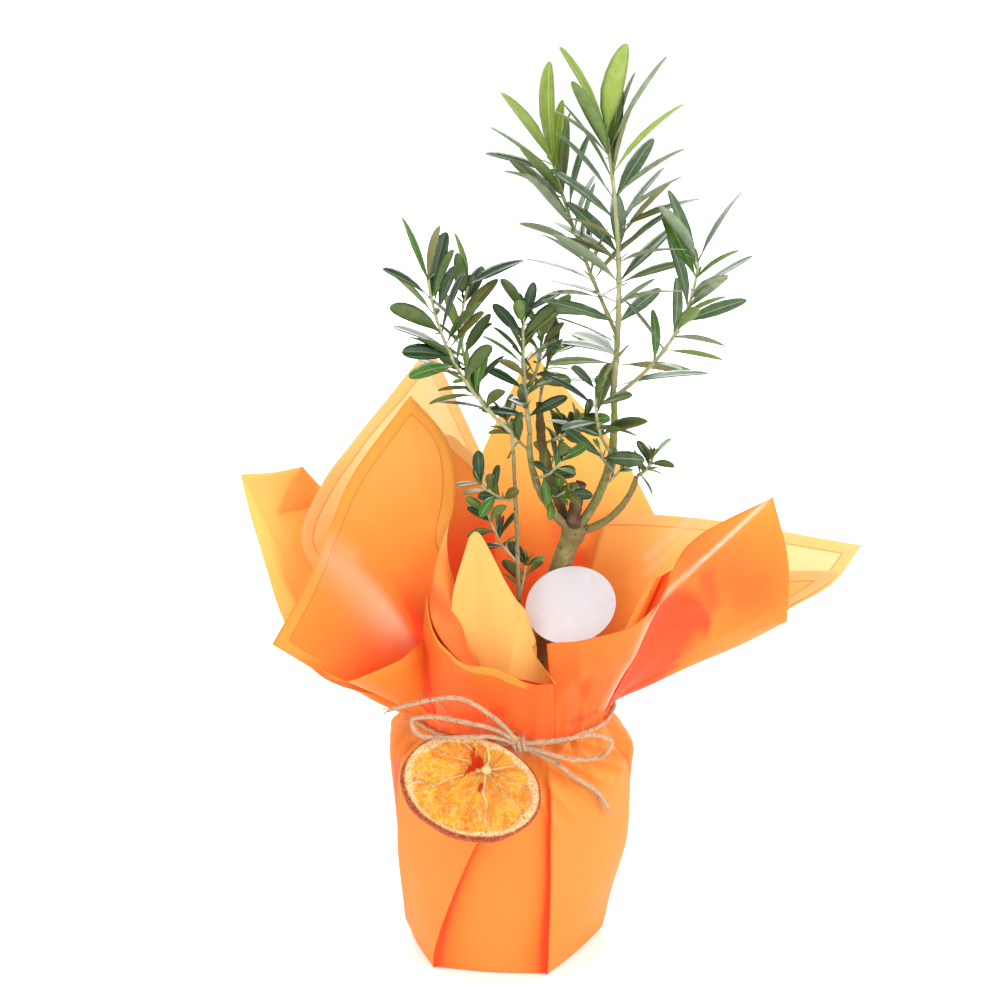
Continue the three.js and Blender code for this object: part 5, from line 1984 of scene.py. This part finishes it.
MASSES: tuple[Mass, ...] = (
    Mass("foliage_leader", "bough_right", 1, 7, (
        Shoot((45, -2, 421.5), (4.2, 2.5, 0), (1.6, 0.8), 13, 0.03, (46, 47), 0.2, (84, 20)),
        Shoot((20.5, 28, 403), (-2, 6, 0), (1.1, 0.7), 10, 0.12, (32, 44), 0.22, (70, 20), 20, (0, 0.22)),
    ), LEADER_TONES, 0.3, 0.88, 1.0, 30, Tone.YOUNG, accents=(
        Accent(0, 0.95, (28, 4, 43), 6.5, Tone.SILVER),
        Accent(0, 0.86, (31, -7, 35), 8.5, Tone.YOUNG),
        Accent(0, 0.77, (32, -3, 24), 7, Tone.SILVER),
        Accent(0, 0.64, (39, 5, 15), 6, Tone.OLIVE),
        Accent(0, 0.55, (25, -9, 21), 7.5, Tone.SILVER),
        Accent(0, 0.43, (34, 3, 9), 6, Tone.OLIVE),
        Accent(0, 0.93, (-26, -8, 22), 9, Tone.OLIVE),
        Accent(0, 0.52, (-31, -10, 14), 9, Tone.OLIVE),
        Accent(0, 0.02, (45, -6, 9), 8.5, Tone.SILVER),
        Accent(1, 0.93, (-34, -4, 13), 7, Tone.SILVER),
        Accent(1, 0.82, (-28, -8, 14), 7.5, Tone.SILVER),
    )),
    Mass("foliage_right", "bough_right", 0.97, 21, (
        Shoot((88.5, -18, 364.8), (8.5, -5, -2), (1.1, 0.7), 8, 0.3, (26, 42), 0.23, (70, 28), -20),
    ), (Tone.SILVER, Tone.SILVER, Tone.FRESH, Tone.SILVER), 0.25, 0.88, 1.0, 30),
    Mass("foliage_right_low", "bough_right_low", 1, 5, (
        Shoot((69, -16, 267), (1, 0, -1), (0.9, 0.6), 4, 0.15, (14, 13), 0.34, (75, 40), 10),
    ), SPRIG_TONES),
    Mass("foliage_middle", "bough_left", 1, 33, (
        Shoot((5.5, -4, 336), (-1.5, 4, 0), (1.3, 0.7), 9, 0.12, (21, 24), 0.3, (76, 30), 35),
        Shoot((14, 18, 322), (3, 3, 0), (0.9, 0.6), 5, 0.3, (18, 22), 0.3, (70, 30), 60, (0, 0.3)),
    ), LEFT_TONES, 0.5, 1.0, 1.14, 72),
    Mass("foliage_left", "basal_shoot", 1, 14, (
        Shoot((-40.2, -26, 358), (-7, -1, -4), (1, 0.7), 9, 0.2, (22, 33), 0.3, (70, 26)),
        Shoot((-21.8, 14, 346), (-9, 4, -3), (0.9, 0.6), 7, 0.25, (20, 28), 0.28, (72, 28), 30, (0, 0.12)),
    ), LEFT_TONES, 0.5, 1.0, 1.14, 72),
    sprig("right_bough", "bough_right", 0.62, 9,
          Shoot((41, -16, 301), (-3, -2, -2), (0.9, 0.6), 4, 0.35, (34, 30), 0.28, (80, 40), 10),
          (Tone.DARK, Tone.OLIVE, Tone.SILVER)),
    sprig("right_pair", "bough_right", 0.52, 4,
          Shoot((43, -11, 270), (0, 0, -1), (0.8, 0.7), 1, 0.6, (34, 34), 0.34, (58, 58)),
          (Tone.SILVER, Tone.SILVER), fill=0, broader=0.72, longer=0.86),
    sprig("right_foot", "bough_right", 0.4, 18,
          Shoot((53, -10, 258), (0, 0, -1), (0.8, 0.6), 2, 0.5, (18, 20), 0.34, (70, 40)),
          (Tone.SILVER, Tone.DARK)),
    sprig("old_tip", "bough_old", 1, 41,
          Shoot((22, 22, 312), (-1, 3, 2), (0.9, 0.6), 5, 0.25, (17, 19), 0.38, (72, 35))),
    sprig("old_mid", "bough_old", 0.66, 52,
          Shoot((36, 14, 277), (0, 2, -2), (0.8, 0.5), 4, 0.35, (14, 16), 0.42, (72, 40))),
    sprig("left_bough", "bough_left", 0.6, 63,
          Shoot((24, -26, 268), (0, -2, -2), (0.8, 0.5), 4, 0.35, (13, 15), 0.42, (74, 40))),
    sprig("left_bough_high", "bough_left", 0.84, 27,
          Shoot((-3, 0, 282), (-1, 0, -1), (0.8, 0.5), 4, 0.35, (15, 17), 0.4, (74, 36))),
    sprig("left_bough_low", "bough_left", 0.42, 36,
          Shoot((26, -24, 252), (0, -1, -1), (0.8, 0.5), 3, 0.35, (15, 15), 0.4, (74, 36))),
    sprig("old_foot", "bough_old", 0.45, 45,
          Shoot((26, 24, 268), (0, 1, -1), (0.8, 0.5), 4, 0.35, (15, 17), 0.4, (74, 36))),
    sprig("basal_high", "basal_shoot", 0.8, 70,
          Shoot((-15, -25, 256), (-1, -1, -1), (0.7, 0.5), 4, 0.3, (15, 16), 0.36, (74, 40))),
    sprig("basal_mid", "basal_shoot", 0.62, 83,
          Shoot((-12, -14, 237), (-1, 0, -2), (0.7, 0.5), 3, 0.4, (15, 17), 0.33, (72, 38))),
    sprig("basal_low", "basal_shoot", 0.5, 96,
          Shoot((7, -8, 208), (0, 1, -1), (0.7, 0.5), 3, 0.4, (15, 15), 0.4, (74, 40))),
)


def tree_of(nodes: Iterable[str]) -> BVHTree:
    """Gives a search tree over the faces of solids."""
    places: list[Vector] = []
    faces: list[tuple[int, ...]] = []
    for node in nodes:
        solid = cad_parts[node].data
        faces += [tuple(index + len(places) for index in face.vertices) for face in solid.polygons]
        places += [vert.co for vert in solid.vertices]
    return BVHTree.FromPolygons(places, faces)


@dataclass
class Foliage:
    """Twigs and leaves, grown by the rule of the solids and carried on to axil leaves and end buds."""

    root_depth: float = 0.6
    roll: float = 50
    sizes: Pair = (0.82, 1.08)
    droop: float = 0.16
    turn: float = 38
    jitter: float = 14
    twig_sides: int = 7
    twig_steps: int = 26
    node_swell: float = 0.3
    leaf_thickness: float = 0.34
    stations: tuple[float, ...] = (0, 0.07, 0.17, 0.33, 0.52, 0.7, 0.85, 0.94, 0.985, 1)
    section: tuple[float, ...] = (-1, -0.55, -0.07, 0.07, 0.55, 1, 0.5, 0, -0.5)
    kinds: tuple[int, ...] = (0, 0, 2, 0, 0, 1, 1, 1, 1)
    upper_faces: int = 5
    slim_limit: float = 0.26
    trench: float = 0.3
    axil_share: float = 0.55
    axil_length: Pair = (3, 8)
    bud_length: Pair = (5, 9)
    keep_within: float = 1.3
    margin: float = 1.0
    top_growth: float = 1.1
    top_breadth: float = 1.35
    least_breadth: float = 0.36
    front: Point = (0, -0.954, 0.301)
    petiole: float = 0.07
    slim_form: Pair = (0.5, 1.8)
    broad_form: Pair = (0.62, 2.3)
    twist: float = 20
    sweep: float = 0.05
    droop_spread: Pair = (-0.05, 0.04)
    accent_roll: float = 25
    axil_lean: Pair = (25, 60)
    buds: int = 3
    bud_lean: Pair = (4, 18)
    between: Pair = (0.35, 0.65)
    between_length: Pair = (0.75, 1.05)
    between_lean: Pair = (-16, 10)
    tender_length: float = 10
    tender_share: float = 0.6
    fine_seed: int = 1000
    masses: tuple[Mass, ...] = MASSES
    film: BVHTree = field(default_factory=lambda: tree_of([petal.name for petal in PETALS]))

    def leaves_of(self, mass: Mass, shoot: Shoot, line: Limb, dice: Dice) -> list[Leaf]:
        """Grows the leaves of one shoot by the solids' rule.

        Args:
            mass: The mass, for its tones.
            shoot: The shoot.
            line: The shoot's middle line.
            dice: The mass's source of numbers.

        Returns:
            Opposite pairs whose plane turns from node to node.
        """
        found = []
        for node, t in enumerate(shoot.nodes()):
            forward = line.tangent(t)
            right = square_to(forward)
            away = np.cross(forward, right)
            turn = self.turn if node % 2 else -self.turn
            for half in (0, 180):
                around = math.radians(shoot.face + turn + half + self.jitter * (2 * dice.roll() - 1))
                lean = math.radians(mix(*shoot.spread, t) + self.jitter * (2 * dice.roll() - 1))
                topmost = bool(mass.top) and t > mass.top_from
                length = mass.longer * mix(*shoot.leaf, t) * mix(*self.sizes, dice.roll())
                length *= self.top_growth if topmost else 1
                outward = right * math.cos(around) + away * math.sin(around)
                axis = forward * math.cos(lean) + outward * math.sin(lean)
                upper = self.spun(unit(forward - axis * (forward @ axis)), axis,
                                  self.roll * (dice.roll() - 0.5))
                root = line.point(t) - axis * self.root_depth * mix(*shoot.radius, t)
                width = length * shoot.slim * mass.broader / mass.longer
                width *= self.top_breadth if topmost else 1
                tone = self.tone(mass, t, len(found))
                found.append(Leaf(root, axis, upper, length, width, tone, mass.blade_roll))
        return found

    @staticmethod
    def spun(vector: Array, axis: Array, degrees: float) -> Array:
        """Turns a vector that is square to an axis about it."""
        angle = math.radians(degrees)
        return vector * math.cos(angle) + np.cross(axis, vector) * math.sin(angle)

    @staticmethod
    def tone(mass: Mass, t: float, index: int) -> Tone:
        """Deals out a leaf's tone by its mass and its place on the shoot."""
        if mass.top and t > mass.top_from:
            return mass.top
        if mass.top and t > mass.top_from - 0.16:
            return Tone.FRESH if index % 2 else Tone.OLIVE
        return mass.tones[(index * 7 + mass.seed) % 11 % len(mass.tones)]

    def rings(self, leaf: Leaf, dice: Dice) -> Array:
        """Shapes a leaf: a petiole, a blade with a trench along its midrib, an arch and a slight twist.

        Args:
            leaf: The leaf.
            dice: A source of numbers.

        Returns:
            Rings of points from the foot to the tip.
        """
        s = np.array(self.stations)
        x = np.array(self.section)
        blade = np.clip((s - self.petiole) / (1 - self.petiole), 0, 1)
        slim = leaf.width / leaf.length < self.slim_limit
        widest, blunt = self.slim_form if slim else self.broad_form
        swell = np.sin(math.pi / 2 * np.minimum(blade / widest, 1)) ** 0.9
        close = np.sqrt(1 - np.clip((blade - widest) / (1 - widest), 0, 1) ** blunt)
        half = leaf.width / 2 * swell * close
        stalk = min(0.45, 0.03 * leaf.length)
        half = np.maximum(half, stalk * (1 - s) + 0.05)
        side = np.cross(leaf.axis, leaf.upper)
        turned = self.opened(leaf, side, dice.between(-leaf.turn, leaf.turn)) * smoothstep(s, 0, 0.3)
        twist = np.radians(turned + dice.between(-self.twist, self.twist) * s * s)
        across = side * np.cos(twist)[:, None] + leaf.upper * np.sin(twist)[:, None]
        rise = leaf.upper * np.cos(twist)[:, None] - side * np.sin(twist)[:, None]
        sweep = dice.between(-self.sweep, self.sweep) * leaf.length
        arch = -(self.droop + dice.between(*self.droop_spread)) * leaf.length * s * s
        line = leaf.root + leaf.axis * (s * leaf.length)[:, None] + leaf.upper * arch[:, None]
        line = line + side * (sweep * s * s)[:, None]
        thick = np.minimum(self.leaf_thickness, 0.9 * half + 0.08)
        under = np.arange(len(x)) > self.upper_faces
        lift = self.trench * np.abs(x)[None] * half[:, None] - under * thick[:, None]
        lift = lift - 0.12 * (np.abs(x) > 0.9) * half[:, None]
        spread = across[:, None] * (x[None] * half[:, None])[..., None]
        return line[:, None] + spread + rise[:, None] * lift[..., None]

    def opened(self, leaf: Leaf, side: Array, degrees: float) -> float:
        """Turns a blade about its axis until it doesn't stand edge-on to the front, and gives the turn."""
        front = np.array(self.front)
        start = math.atan2(side @ front, leaf.upper @ front)
        angle = (math.radians(degrees) + start + math.pi) % (2 * math.pi) - math.pi
        facing = math.cos(angle)
        if abs(facing) < self.least_breadth:
            angle = math.copysign(math.acos(math.copysign(self.least_breadth, facing)), angle)
        return math.degrees(angle - start)

    def accent_leaf(self, line: Limb, accent: Accent) -> Leaf:
        """Places a chosen leaf, so that its tip comes to its reach when it has drooped."""
        reach, sky = np.array(accent.reach), np.array([0, 0, 1.0])
        length = float(np.linalg.norm(reach))
        upper = unit(sky - unit(reach) * (sky @ unit(reach)))
        axis = unit(reach + upper * self.droop * length)
        upper = unit(sky - axis * (sky @ axis))
        return Leaf(line.point(accent.at), axis, upper, length, accent.width, accent.tone, self.accent_roll)

    def growing(self, mass: Mass) -> tuple[list[Limb], list[Leaf]]:
        """Grows a mass's shoots and the leaves that its solid holds.

        Args:
            mass: The mass.

        Returns:
            The shoots' lines and the leaves.
        """
        lines: list[Limb] = []
        leaves: list[Leaf] = []
        dice = Dice(mass.seed)
        for shoot in mass.shoots:
            foot = lines[shoot.on[0]].point(shoot.on[1]) if shoot.on else LIMBS[mass.limb].point(mass.at)
            lines.append(Limb(tuple(foot), shoot.tip, shoot.bow, shoot.radius))
            leaves += self.leaves_of(mass, shoot, lines[-1], dice)
        tree = tree_of([mass.name])
        kept = []
        for leaf in leaves:
            gap = tree.find_nearest(Vector(self.place_on(leaf, 0.6) * MM))[3]
            if gap is not None and gap < self.keep_within * MM:
                kept.append(leaf)
        return lines, kept

    def small_leaves(self, mass: Mass, shoot: Shoot, line: Limb, dice: Dice) -> list[Leaf]:
        """Grows a shoot's finer leaves.

        Args:
            mass: The mass, for its tones and how full it is.
            shoot: The shoot.
            line: The shoot's middle line.
            dice: A source of numbers.

        Returns:
            Leaves between the nodes, leaflets in the axils and the bud at the end.
        """
        found = []
        nodes = shoot.nodes()
        places = [(t, self.axil_length, dice.between(*self.axil_lean)) for t in nodes for _ in range(2)
                  if dice.roll() < self.axil_share]
        places += [(1.0, self.bud_length, dice.between(*self.bud_lean)) for _ in range(self.buds)]
        for low, high in zip(nodes[:-1], nodes[1:], strict=True):
            t = mix(low, high, dice.between(*self.between))
            lengths = [part * mix(*shoot.leaf, t) for part in self.between_length]
            places += [(t, lengths, mix(*shoot.spread, t) + dice.between(*self.between_lean))
                       for _ in range(2) if dice.roll() < mass.fill]
        for t, lengths, lean in places:
            forward = line.tangent(t)
            right = square_to(forward)
            out = self.spun(right, forward, dice.between(0, 360))
            axis = forward * math.cos(math.radians(lean)) + out * math.sin(math.radians(lean))
            upper = unit(forward - axis * (forward @ axis))
            length = dice.between(*lengths)
            tender = mass.top or Tone.FRESH
            small = length < self.tender_length and dice.roll() < self.tender_share
            tone = tender if small else self.tone(mass, t, len(found))
            root = line.point(t) - axis * self.root_depth * mix(*shoot.radius, t)
            width = length * max(shoot.slim, 0.22) * mass.broader
            leaf = Leaf(root, axis, upper, length, width, tone, mass.blade_roll)
            if self.clear_of_film(leaf):
                found.append(leaf)
        return found

    def place_on(self, leaf: Leaf, share: float) -> Array:
        """Gives the place at a share of a drooping leaf's length."""
        drop = leaf.upper * self.droop * leaf.length * share**2
        return leaf.root + leaf.axis * leaf.length * share - drop

    def clear_of_film(self, leaf: Leaf) -> bool:
        """Tells whether a leaf keeps clear of the film."""
        for share in (0.3, 0.65, 1.0):
            place = self.place_on(leaf, share)
            if self.film.find_nearest(Vector(place * MM), (leaf.width / 2 + self.margin) * MM)[0]:
                return False
        return True

    def twig(self, batch: Batch, shoot: Shoot, line: Limb) -> None:
        """Adds a shoot's stem, swollen at its nodes."""
        t = np.linspace(0, 1, self.twig_steps)
        length = np.linalg.norm(np.array(shoot.tip) - np.array(line.start))
        near = np.abs(t[:, None] - np.array(shoot.nodes())).min(1) * length
        width = line.width(t) * (1 + self.node_swell * np.exp(-((near / 1.2) ** 2)))
        batch.tube(line.point(t), width, self.twig_sides, green=mix(0.35, 1.0, t), worn=0.0)

    def build(self) -> None:
        """Builds the twigs and the leaves, a piece for each tone."""
        twigs = Batch()
        blades = {tone: Batch() for tone in Tone}
        homes: dict[Tone, list[str]] = {tone: [] for tone in Tone}
        for mass in self.masses:
            lines, leaves = self.growing(mass)
            dice = Dice(mass.seed + self.fine_seed)
            for shoot, line in zip(mass.shoots, lines, strict=True):
                self.twig(twigs, shoot, line)
                leaves += self.small_leaves(mass, shoot, line, dice)
            leaves += [self.accent_leaf(lines[accent.shoot], accent) for accent in mass.accents]
            for leaf in leaves:
                blades[leaf.tone].loft(self.rings(leaf, dice), self.kinds)
                homes[leaf.tone].append(mass.name)
        bark = BarkFinish("twig_bark", (0.26, 0.2, 0.1), (0.47, 0.49, 0.25), (0.62, 0.62, 0.44),
                          (0.2, 0.16, 0.08), 1.0)
        register(twigs.build("twigs", [bark.material()]), [mass.name for mass in self.masses])
        for tone, batch in blades.items():
            faces = zip(LEAF_FACES, LEAF_LOOKS[tone], strict=True)
            finishes = [LeafFinish(f"{tone.value}_{face}", *looks).material() for face, looks in faces]
            piece = batch.build(f"leaves_{tone.value}", finishes)
            register(piece, sorted(set(homes[tone])))


@dataclass
class PotAndSoil:
    """The nursery pot inside the film, and the crumbly soil in it."""

    base_radius: float = 38
    rim_radius: float = 56
    foot: float = 1.1
    rim_height: float = 108
    wall: float = 1.4
    floor: float = 2.2
    lip: float = 2
    lip_depth: float = 8
    edge_round: float = 0.4
    sharp_angle: float = 0.6
    steps: int = 72
    soil_top: float = 104
    soil_gap: float = 0.6
    soil_cells: tuple[int, int] = (120, 60)
    crumbs: int = 520
    crumb_reach: float = 51
    crumb_rise: float = 0.6
    crumb_size: Pair = (0.6, 1.9)
    crumb_section: tuple[Pair, ...] = ((-0.6, 0.7), (0, 1.0), (0.6, 0.6))

    def wall_at(self, height: float) -> float:
        """Gives the outer radius of the pot's wall at a height."""
        return mix(self.base_radius, self.rim_radius, (height - self.foot) / (self.rim_height - self.foot))

    def build_pot(self) -> None:
        """Spins the pot from its section."""
        lip_foot, top = self.rim_height - self.lip_depth, self.rim_height
        floor = self.foot + self.floor
        section = [
            (0, self.foot), (self.base_radius, self.foot), (self.wall_at(lip_foot), lip_foot),
            (self.wall_at(lip_foot) + self.lip, lip_foot), (self.wall_at(top) + self.lip, top),
            (self.wall_at(top) - self.wall, top), (self.wall_at(floor) - self.wall, floor), (0, floor),
        ]
        shape = bmesh.new()
        verts = [shape.verts.new((radius * MM, 0, height * MM)) for radius, height in section]
        edges = [shape.edges.new(pair) for pair in zip(verts[:-1], verts[1:], strict=True)]
        bmesh.ops.spin(shape, geom=verts + edges, axis=(0, 0, 1), cent=(0, 0, 0), steps=self.steps,
                       angle=2 * math.pi, use_merge=True)
        bmesh.ops.remove_doubles(shape, verts=shape.verts, dist=1e-6)
        bmesh.ops.recalc_face_normals(shape, faces=shape.faces)
        sharp = [edge for edge in shape.edges
                 if len(edge.link_faces) == 2 and edge.calc_face_angle() > self.sharp_angle]
        bmesh.ops.bevel(shape, geom=sharp, offset=self.edge_round * MM, affect="EDGES", segments=2,
                        profile=0.5, material=-1)
        mesh = mesh_of("nursery_pot", shape)
        finish = PlainFinish("pot_plastic", (0.03, 0.027, 0.025), (0.045, 0.04, 0.037), 3, 0.5, 0.05)
        register(new_object("nursery_pot", mesh, [finish.material()]), ("pot",))

    def soil_surface(self, u: Array, v: Array) -> Array:
        """Places the soil as a closed body with a lumpy top.

        Args:
            u: Shares all round.
            v: Shares from the middle below to the middle above.

        Returns:
            The soil's points.
        """
        floor = self.foot + self.floor + 0.3
        inset = self.wall + self.soil_gap
        top_radius = self.wall_at(self.soil_top) - inset
        ring = np.interp(v, [0, 0.2, 0.5, 1], [0, self.wall_at(floor) - inset, top_radius, 0])
        height = np.interp(v, [0, 0.2, 0.5, 1], [floor, floor, self.soil_top, self.soil_top])
        points = polar(360 * u, ring, height)
        lumps = 1.6 * relief(points, 9, 4) + 0.8 * relief(points, 2.5, 2, 3)
        points[:, 2] += np.where(v > 0.5, np.minimum(lumps, 1.5), 0)
        return points

    def build_soil(self) -> None:
        """Builds the soil and the crumbs that lie on it."""
        finish = PlainFinish("potting_mix", (0.045, 0.027, 0.016), (0.11, 0.07, 0.04), 2.2, 0.85, 0.8)
        finishes = [finish.material()]
        mesh = grid_mesh("potting_soil", *self.soil_cells, self.soil_surface)
        merge(mesh)
        register(new_object("potting_soil", mesh, finishes), ("soil",))
        crumbs, dice = Batch(), Dice(77)
        hexagon = polar(60 * np.arange(6), 1, 0)
        for _ in range(self.crumbs):
            azimuth, radius = dice.between(0, 360), self.crumb_reach * math.sqrt(dice.roll())
            size = dice.between(*self.crumb_size)
            centre = polar(azimuth, radius, self.soil_top + self.crumb_rise)
            levels = [hexagon * width * dice.between(0.8, 1.2) + np.array([0, 0, level])
                      for level, width in self.crumb_section]
            crumbs.loft(centre + size * np.array(levels))
        register(crumbs.build("soil_crumbs", finishes))

    def build(self) -> None:
        """Builds the pot and the soil."""
        self.build_pot()
        self.build_soil()


@dataclass(frozen=True)
class SoftLight:
    """A studio soft box, aimed at the plant."""

    name: str
    place: Point
    size: float
    power: float


@dataclass
class Studio:
    """The floor, the light and the camera."""

    target: Point = (-6, 0, 240)
    distance: float = 1200
    elevation: float = 17.5
    lens: float = 86.4
    sensor: float = 36
    floor_size: float = 40
    sky: float = 0.86
    floor_glow: float = 0.22
    lights: tuple[SoftLight, ...] = (
        SoftLight("key", (-900, -1300, 1500), 1.1, 10),
        SoftLight("fill", (1300, -900, 900), 1.2, 15),
        SoftLight("back", (-200, 1500, 1300), 1.4, 42),
    )

    def floor(self) -> None:
        """Lays a pale floor."""
        shape = bmesh.new()
        bmesh.ops.create_grid(shape, x_segments=1, y_segments=1, size=self.floor_size / 2)
        graph = Graph("pale_floor")
        finish = graph.skin({
            "Base Color": (0.95, 0.95, 0.95),
            "Roughness": 0.9,
            "Specular IOR Level": 0.0,
            "Emission Color": (1.0, 1.0, 1.0),
            "Emission Strength": self.floor_glow,
        })
        new_object("floor", mesh_of("floor", shape), [finish])

    def light(self) -> None:
        """Lights the scene with a white sky and soft boxes."""
        scene = bpy.context.scene
        scene.view_settings.view_transform = "Standard"
        world = bpy.data.worlds.new("studio")
        world.use_nodes = True
        sky = world.node_tree.nodes["Background"]
        sky.inputs["Color"].default_value = (1, 1, 1, 1)
        sky.inputs["Strength"].default_value = self.sky
        scene.world = world
        aim = Vector(self.target) * MM
        for box in self.lights:
            lamp = bpy.data.lights.new(box.name, "AREA")
            lamp.energy, lamp.size = box.power, box.size
            holder = bpy.data.objects.new(box.name, lamp)
            holder.location = Vector(box.place) * MM
            holder.rotation_euler = (aim - holder.location).to_track_quat("-Z", "Y").to_euler()
            scene.collection.objects.link(holder)

    def camera(self) -> None:
        """Sets the camera at the photograph's angle."""
        eye = bpy.data.cameras.new("camera")
        eye.lens, eye.sensor_width = self.lens, self.sensor
        holder = bpy.data.objects.new("camera", eye)
        rise = math.radians(self.elevation)
        back = Vector((0, -math.cos(rise), math.sin(rise)))
        holder.location = (Vector(self.target) + back * self.distance) * MM
        holder.rotation_euler = (math.pi / 2 - rise, 0, 0)
        bpy.context.scene.collection.objects.link(holder)
        bpy.context.scene.camera = holder

    def build(self) -> None:
        """Builds the studio."""
        self.floor()
        self.light()
        self.camera()


def main() -> None:
    """Builds the plant's pieces and the studio in order."""
    logging.basicConfig(level=logging.INFO, format="%(message)s")
    # Each film face: its own colour, its half and full painted shade, its printed border and line, the share
    # and colour of light through it, and the side of its painted highlights.
    outside = FilmFinish("film_outside", (0.97, 0.45, 0.11), (0.95, 0.27, 0.04), (0.97, 0.085, 0.022),
                         (0.78, 0.36, 0.065), (0.55, 0.19, 0.035), 0.36, (1.0, 0.66, 0.25), 1).material()
    inside = FilmFinish("film_inside", (1.0, 0.68, 0.2), (0.98, 0.38, 0.08), (0.98, 0.095, 0.025),
                        (1.0, 0.74, 0.3), (0.8, 0.36, 0.08), 0.46, (1.0, 0.78, 0.37), -1).material()
    PotAndSoil().build()
    FilmSkirt().build(outside, inside)
    FilmPetals().build(outside, inside)
    Twine().build()
    OrangeSlice().build()
    CardTag().build()
    Limbs().build()
    Foliage().build()
    Studio().build()


if __name__ == "__main__":
    main()
